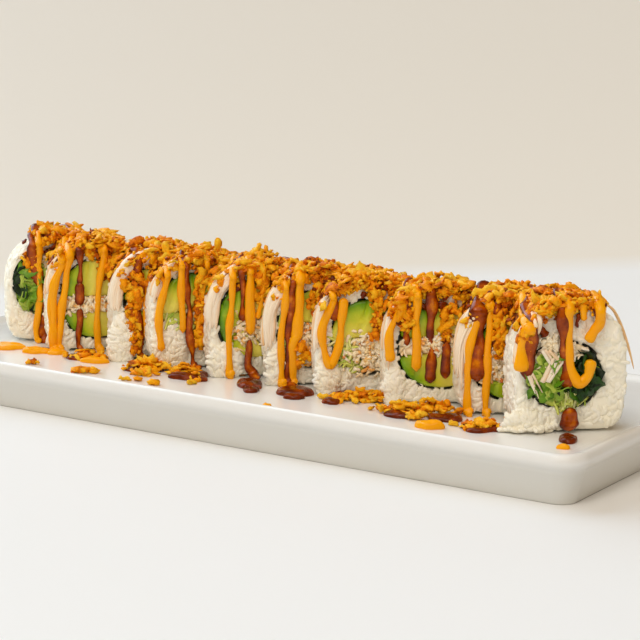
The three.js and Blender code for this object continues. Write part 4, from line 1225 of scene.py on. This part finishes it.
def poured(strands, radius, flatness, proud, seed, behind=False, unrest=0.16, taper=1.3):
    """Strands of something poured: each tube swells, thins and sways along its way and ends rounded, over a length
    of taper. Those behind run down the back of a slice. With them go numbers that are 1 along the crest of a strand
    and 0 at its sides."""
    rng = np.random.default_rng(seed)
    parts, painted_glow = [], []
    # The crest faces out from the cut face: the glaze paints it lighter amber, a painted glow of light shining
    # through.
    crest = np.clip(np.sin(np.arange(12) * np.pi / 6), 0, 1) ** 2
    for number, thickness, places, run in strands:
        cut = SLICES[number - 1]
        path = hanging_line(cut, places, proud + PROUD.get(number, 0) * (not behind), 14, run)
        if behind:
            path = path * [1, -1, 1] + [0, cut["thick"], 0]
        length = np.concatenate([[0], np.cumsum(np.linalg.norm(np.diff(path, axis=0), axis=-1))])
        u = length / length[-1]
        calm = unrest * np.clip(length[-1] / 40, 0.2, 1)
        path[:, 0] += 1.6 * calm * np.sin(length / rng.uniform(2.5, 4) + rng.uniform(0, 6)) * np.sin(np.pi * u)
        swell = np.sin(length / rng.uniform(3, 6) + rng.uniform(0, 6)) + 0.6 * np.sin(length / 1.9 + number)
        left = length[-1] - length
        drop = 1 + calm * swell + 0.16 * np.exp(-((left - 2.4) / 1.6) ** 2)
        tips = np.sqrt(np.clip(1 - (1 - np.minimum(left, length) / taper).clip(0, 1) ** 2, 0.02, 1))
        part = tube(path, radius * thickness * drop * tips, flatness, 12)
        parts.append((on_slice(cut, part[0]), part[1]))
        painted_glow.append(np.concatenate([np.tile(crest, len(path)), [0.5, 0.5]]))
    return (*join(*parts), np.concatenate(painted_glow))


mayo_look = mayo_finish()
front_strands = poured(MAYO_STRANDS, MAYO_RADIUS, 0.75, 1.1, 810)
back_strands = poured(MAYO_BEHIND, MAYO_RADIUS, 0.75, 1.1, 811, behind=True)
points, faces = join(front_strands[:2], back_strands[:2])
make_piece("mayonnaise_strands", points, faces, mayo_look, "topping", ["topping"])

# The dark sauce: a thick, sweet soy glaze, brown where it lies deep and amber where it runs thin. It runs down
# beside the mayonnaise and stands in drops between the crisps. Along the crest of each strand its colour is painted
# lighter amber, a painted glow of light shining through it.
SAUCE_RADIUS = 1.5
SAUCE_STRANDS = [
    (1, 1.5, [(-12, 42), (-8.5, 30), (-7, 22), (-5.5, 12), (-6.5, 3)], 4),
    (2, 0.9, [(-8.6, 43), (-8.7, 30)], 0),
    (2, 1.5, [(-8.7, 32), (-8.7, 21)], 0),
    (2, 1.0, [(-8.6, 20), (-8.6, 12), (-8.9, 3)], 4),
    (3, 1.6, [(-12.5, 43), (-12.2, 32), (-12.4, 14), (-11, 3)], 4),
    (4, 1.1, [(-9, 43), (-7.4, 30), (-5.7, 12), (-4.6, 3)], 7),
    (5, 0.9, [(-9.8, 43), (-9.2, 33), (-9, 25)], 0),
    (5, 1.2, [(-6, 17), (-5.8, 10), (-6, 5), (-4.6, 2.5)], 8),
    (6, 1.2, [(-13.2, 41), (-14.2, 30), (-14.2, 18), (-14.5, 4)], 8),
    (7, 1.3, [(-16, 41), (-16.2, 36), (-15.4, 32)], 0),
    (8, 1.1, [(-15.6, 40), (-15, 33), (-13.8, 25)], 0),
    (8, 1.3, [(-4.6, 42), (-3.6, 25), (-3.4, 9)], 0),
    (8, 1.2, [(2.6, 27), (2.9, 20), (3, 11)], 0),
    (9, 2.0, [(-15.6, 41), (-15.6, 30), (-15.4, 14)], 0),
    (9, 1.0, [(-8.6, 42), (-8.6, 34), (-9, 26)], 0),
    (10, 1.7, [(-18.5, 40), (-19.4, 32), (-20.2, 22)], 0),
    (10, 1.4, [(-6, 38), (-3.8, 30), (-2.4, 18)], 0),
    (10, 2.2, [(-1.6, 10.4), (-1.3, 5.4), (-0.9, 0.6)], 0),
]
SAUCE_BEHIND = [
    (1, 1.1, [(4, 43), (3, 26)], 0),
    (3, 1.2, [(16, 40), (18, 20)], 0),
    (5, 1.1, [(12, 42), (12, 24)], 0),
    (7, 1.2, [(14, 41), (15, 16)], 0),
    (9, 1.0, [(7, 43), (7, 30)], 0),
    (10, 1.3, [(3, 46), (4, 18)], 0),
]
SPOTS_A_SLICE = 16


def sauce_finish():
    finish = Finish("soy_glaze", Roughness=0.25, Specular_IOR_Level=0.05, Coat_Weight=0.4, Coat_Roughness=0.05)
    # Painted glow: the crest of each strand is lighter amber, as if light shone through the glaze.
    tone = finish.clouds(5, 3.0) * 0.9 + finish.mark("middle") * 0.3
    body = finish.ramp(tone, (0.3, colour(76, 22, 0)), (0.55, colour(122, 42, 0)), (0.75, colour(176, 78, 0)),
                       (0.95, colour(232, 142, 14)))
    finish.set(Base_Color=body)
    finish.set(Normal=finish.bump(finish.clouds(2.2, 2.0), 0.5))
    return finish


def glaze_spots(seed):
    """Drops of glaze, as knobbly as the crisps: in the heap and on the upper part of both faces of each slice."""
    rng = np.random.default_rng(seed)
    parts = []
    for cut in SLICES:
        count = SPOTS_A_SLICE
        angle = np.radians(90 + np.clip(rng.normal(0, 0.5, count), -1, 1) * HEAP_SPREAD)
        on_top = np.arange(count) < count // 2
        front = np.arange(count) % 2 == 0
        line = outer_line(cut, angle, np.where(on_top, -2.4, rng.uniform(0.5, 8, count)))
        into = np.where(on_top, rng.uniform(0, cut["thick"], count), np.where(front, -1.2, cut["thick"] + 1.2))
        out = np.stack([np.cos(angle), 0 * angle, np.sin(angle)], -1)
        normal = np.where(on_top[:, None], out, np.where(front[:, None], [0.0, -1, 0], [0.0, 1, 0]))
        lie = rng.uniform(0, np.pi, count)
        along = np.where(on_top[:, None], np.stack([np.sin(angle), lie - 1.5, -np.cos(angle)], -1),
                         np.stack([np.cos(lie) * 0.5, 0 * lie, 0.5 + np.sin(lie)], -1))
        centres = np.stack([line[:, 0], into, line[:, 1]], -1)
        shapes, faces = flakes(count, rng, (1.2, 3.2), (0.9, 2.0), (0.6, 1.1))
        points, copies = scatter(shapes, faces, centres, along, normal)
        parts.append((on_slice(cut, points), copies))
    return join(*parts)


sauce_look = sauce_finish()
front_strands = poured(SAUCE_STRANDS, SAUCE_RADIUS, 0.5, 0.7, 820, unrest=0.34, taper=3.4)
back_strands = poured(SAUCE_BEHIND, SAUCE_RADIUS, 0.5, 0.7, 821, behind=True, taper=3.4)
spots = glaze_spots(822)
points, faces = join(front_strands[:2], back_strands[:2], spots)
# The drops among the crisps take a middling painted glow.
painted_glow = np.concatenate([front_strands[2], back_strands[2], np.full(len(spots[0]), 0.4)])
make_piece("soy_glaze_strands", points, faces, sauce_look, "topping", ["topping"], middle=painted_glow)

# What fell on the plate: pools of both sauces that ran off the faces, and crisps lying in and round them.
POOL_TURN = 31
POOLS = [
    # what, middle, half length, half width, depth
    ("mayo", -129, -46.5, 9, 4.5, 1.7),
    ("mayo", -112, -46, 6.5, 4.5, 1.7),
    ("soy", -110, -40, 5, 4, 1.3),
    ("mayo", -104, -41, 5, 5, 1.5),
    ("soy", -86, -43, 8, 5, 1.6),
    ("mayo", -78, -46, 6, 3.4, 1.8),
    ("soy", -50, -46, 9, 7, 1.6),
    ("mayo", -47, -48, 4, 3, 2.0),
    ("soy", -26, -47, 8.5, 7.5, 1.8),
    ("mayo", -14, -28, 4.5, 3, 1.5),
    ("soy", 3, -43, 6.5, 8, 1.7),
    ("soy", 9.5, -52, 3.8, 3.4, 1.5),
    ("soy", 27, -44, 8, 7, 1.7),
    ("soy", 32, -52.5, 4.5, 3, 1.5),
    ("soy", 49, -50, 4.2, 3.6, 1.6),
    ("soy", 46, -36, 6, 5, 1.4),
    ("soy", 84, -52, 6.5, 6, 1.7),
    ("soy", 101, -47, 6.5, 6, 1.7),
    ("mayo", 103, -64, 5.6, 3.2, 2.2),
    ("soy", 121, -53, 9, 6, 1.5),
    ("soy", 157.4, -48.6, 3.4, 6, 1.6),
    ("mayo", 161.4, -61.4, 3.2, 1.8, 1.3),
]
CRISP_PILES = [
    # middle, half length, half width, height, how many
    (-84, -42, 9, 5, 3.2, 44),
    (-95, -66, 3.6, 1.2, 0.8, 6),
    (-67, -67, 8.4, 1.8, 1.6, 18),
    (-50, -45, 9, 6, 4.2, 64),
    (-44, -56, 5, 3, 2.0, 14),
    (-32, -41, 6, 5, 3.6, 36),
    (-22, -47, 4, 4, 2.2, 10),
    (-45, -68, 1, 1, 0.5, 3),
    (-41, -65, 1, 1, 0.5, 2),
    (-29, -68, 2, 1, 0.5, 3),
    (-19, -57, 1.5, 1, 0.5, 3),
    (57, -38, 13, 4.5, 4.0, 84),
    (49, -46, 5, 3, 2.0, 14),
    (80, -49, 7, 5, 3.6, 34),
    (91, -43, 12, 6, 5.0, 84),
    (92, -55, 6, 2.2, 2.4, 14),
    (121, -51, 9, 4.5, 3.0, 54),
    (126, -33, 2, 2, 3.0, 8),
    (33, -76, 1, 0.6, 0.4, 2),
]


def pool(x, y, half_length, half_width, depth, seed):
    """A drop on the plate: a low dome over an outline that lumps push in and out, flat beneath."""
    angle = np.linspace(0, 2 * np.pi, 48, endpoint=False)
    circle = np.stack([np.cos(angle), np.sin(angle), 0 * angle], -1)
    wobble = 1 + 0.34 * lumps(circle + 3.3 * seed, 0.8, 830)
    share = np.array([0.3, 0.6, 0.82, 0.94, 1, 0.97])[:, None]
    rise = np.array([1.36, 1.3, 1.12, 0.8, 0.3, -0.2])[:, None] * depth
    long = half_length * wobble * np.cos(angle) * share
    wide = half_width * wobble * np.sin(angle) * share
    c, s = np.cos(np.radians(POOL_TURN)), np.sin(np.radians(POOL_TURN))
    rise = np.maximum(rise * (1 + 0.3 * lumps(circle * 2 * share[..., None] + 2.1 * seed, 1.0, 831)), -0.4)
    grid = np.stack([x + long * c - wide * s, y + long * s + wide * c, FLOOR_HEIGHT + rise], -1)
    total = grid.shape[0] * 48
    poles = [[x, y, FLOOR_HEIGHT + 1.38 * depth], [x, y, FLOOR_HEIGHT - 0.2 * depth]]
    points = np.concatenate([grid.reshape(-1, 3), poles])
    faces = [wall_faces(grid.shape[0], 48), fan_faces(0, 48, total, False), fan_faces(total - 48, 48, total + 1, True)]
    return points, faces


for kind, look in (("mayo", mayo_look), ("soy", sauce_look)):
    pools = [pool(*row[1:], seed) for seed, row in enumerate(POOLS) if row[0] == kind]
    points, faces = join(*pools)
    # On the soy pools the painted glow of light through the glaze is kept low.
    make_piece(f"{kind}_pools", points, faces, look, "topping", ["plate"], middle=0.1)

rng = np.random.default_rng(840)
pile_parts, pile_tints = [], []
for x, y, half_length, half_width, rise, count in CRISP_PILES:
    for share, (_, lengths, widths, depths) in zip((0.25, 0.4, 0.35), CRISP_KINDS):
        few = max(1, int(count * share))
        spread = rng.normal(0, 0.5, (few, 2))
        middle = np.exp(-np.sum(spread**2, -1))
        spread = spread * [half_length, half_width]
        c, s = np.cos(np.radians(POOL_TURN)), np.sin(np.radians(POOL_TURN))
        height = FLOOR_HEIGHT + 0.8 + rng.uniform(0, 1.15, few) * rise * middle
        centres = np.stack([x + spread @ [c, -s], y + spread @ [s, c], height], -1)
        lie = rng.uniform(0, np.pi, few)
        along = np.stack([np.cos(lie), np.sin(lie), rng.normal(0, 0.15, few)], -1)
        normal = rng.normal(0, 0.3, (few, 3)) + [0, 0, 1]
        shapes, faces = flakes(few, rng, np.array(lengths) * (0.85 if count > 8 else 0.6), widths, depths)
        points, faces = scatter(shapes, faces, centres, along, normal)
        points[:, 2] = np.maximum(points[:, 2], FLOOR_HEIGHT - 0.1)
        pile_parts.append((points, faces))
        pile_tints.append(np.repeat(rng.beta(1.4, 2.6, few), shapes.shape[1]))
points, faces = join(*pile_parts)
make_piece("fallen_crisps", points, faces, crisp_look, "topping", ["plate"], tint=np.concatenate(pile_tints))

# The studio: a pale table that ends in a warmer backdrop, soft light from the left, and the camera low in front
# of the plate's right half, with a long lens.
FLOOR_REACH = 6.0
TABLE_EDGE = 0.339
TABLE_EDGE_WAY = (-0.805, 0.593, 0.0)
TABLE_EDGE_BLUR = 0.06
CAMERA_PLACE = (510.88, -834.26, 225.88)
CAMERA_AZIMUTH = 30.88
CAMERA_ELEVATION = 10.67
CAMERA_ROLL = 1.72
CAMERA_LENS = 124.875


def floor_finish():
    """Two tones: where the way from the middle along the edge's normal passes the edge, one turns to the other."""
    finish = Finish("pale_table", Roughness=0.6, Specular_IOR_Level=0.2)
    sockets = {0: finish.place(), 1: TABLE_EDGE_WAY}
    way = finish.node("ShaderNodeVectorMath", {"operation": "DOT_PRODUCT"}, sockets, output="Value")
    past = ((way - (TABLE_EDGE - TABLE_EDGE_BLUR / 2)) * (1 / TABLE_EDGE_BLUR)).clamped()
    table = finish.mix(finish.clouds(500), colour(241, 241, 241), colour(238, 238, 237))
    finish.set(Base_Color=finish.mix(past, table, colour(235, 227, 214)))
    return finish


corners = FLOOR_REACH * np.array([(-1, -1, 0), (1, -1, 0), (1, 1, 0), (-1, 1, 0)])
floor_mesh = bpy.data.meshes.new("floor")
floor_mesh.from_pydata(corners.tolist(), [], [(0, 1, 2, 3)])
floor_mesh.materials.append(floor_finish().material)
floor = bpy.data.objects.new("floor", floor_mesh)
bpy.context.scene.collection.objects.link(floor)

world = bpy.data.worlds.new("studio")
world.use_nodes = True
world.node_tree.nodes["Background"].inputs["Color"].default_value = (0.235, 0.17, 0.1, 1)
world.node_tree.nodes["Background"].inputs["Strength"].default_value = 1
bpy.context.scene.world = world


def look_along(way, roll):
    """A turn whose -Z looks along a way, its X level and then rolled by degrees."""
    forward = way / np.linalg.norm(way)
    right = np.cross(forward, [0, 0, 1])
    right /= np.linalg.norm(right)
    up = np.cross(right, forward)
    c, s = np.cos(np.radians(roll)), np.sin(np.radians(roll))
    return Matrix(np.stack([c * right + s * up, c * up - s * right, -forward], 1).tolist()).to_4x4()


def lamp(name, kind, place, energy, tone, **settings):
    """A light at a place, in metres, that faces the plate."""
    light = bpy.data.lights.new(name, kind)
    light.energy = energy
    light.color = tone
    for setting, value in settings.items():
        setattr(light, setting, value)
    holder = bpy.data.objects.new(name, light)
    holder.matrix_world = Matrix.Translation(place) @ look_along(np.array([0, 0, 0.03]) - place, 0)
    bpy.context.scene.collection.objects.link(holder)


lamp("window", "SUN", (-0.8, 0.2, 0.56), 2.8, (0.64, 0.8, 0.96), angle=1.1)
lamp("ceiling", "SUN", (0.18, -0.46, 0.87), 1.35, (1.0, 0.94, 0.85), angle=1.1)
lamp("softbox", "AREA", (0.3, -1.25, 2.0), 5, (1.0, 0.95, 0.87), size=0.4)
lamp("glint", "AREA", (-0.1, -1.3, 0.42), 1.2, (1.0, 0.98, 0.94), size=0.06)

azimuth, elevation = np.radians(CAMERA_AZIMUTH), np.radians(CAMERA_ELEVATION)
gaze = np.array([-np.sin(azimuth) * np.cos(elevation), np.cos(azimuth) * np.cos(elevation), -np.sin(elevation)])
camera_data = bpy.data.cameras.new("camera")
camera_data.lens = CAMERA_LENS
camera_data.sensor_width = 36
camera_data.clip_end = 20
camera = bpy.data.objects.new("camera", camera_data)
bpy.context.scene.collection.objects.link(camera)
camera.matrix_world = Matrix.Translation(np.array(CAMERA_PLACE) * MM) @ look_along(gaze, CAMERA_ROLL)
bpy.context.scene.camera = camera
bpy.context.scene.view_settings.view_transform = "Standard"
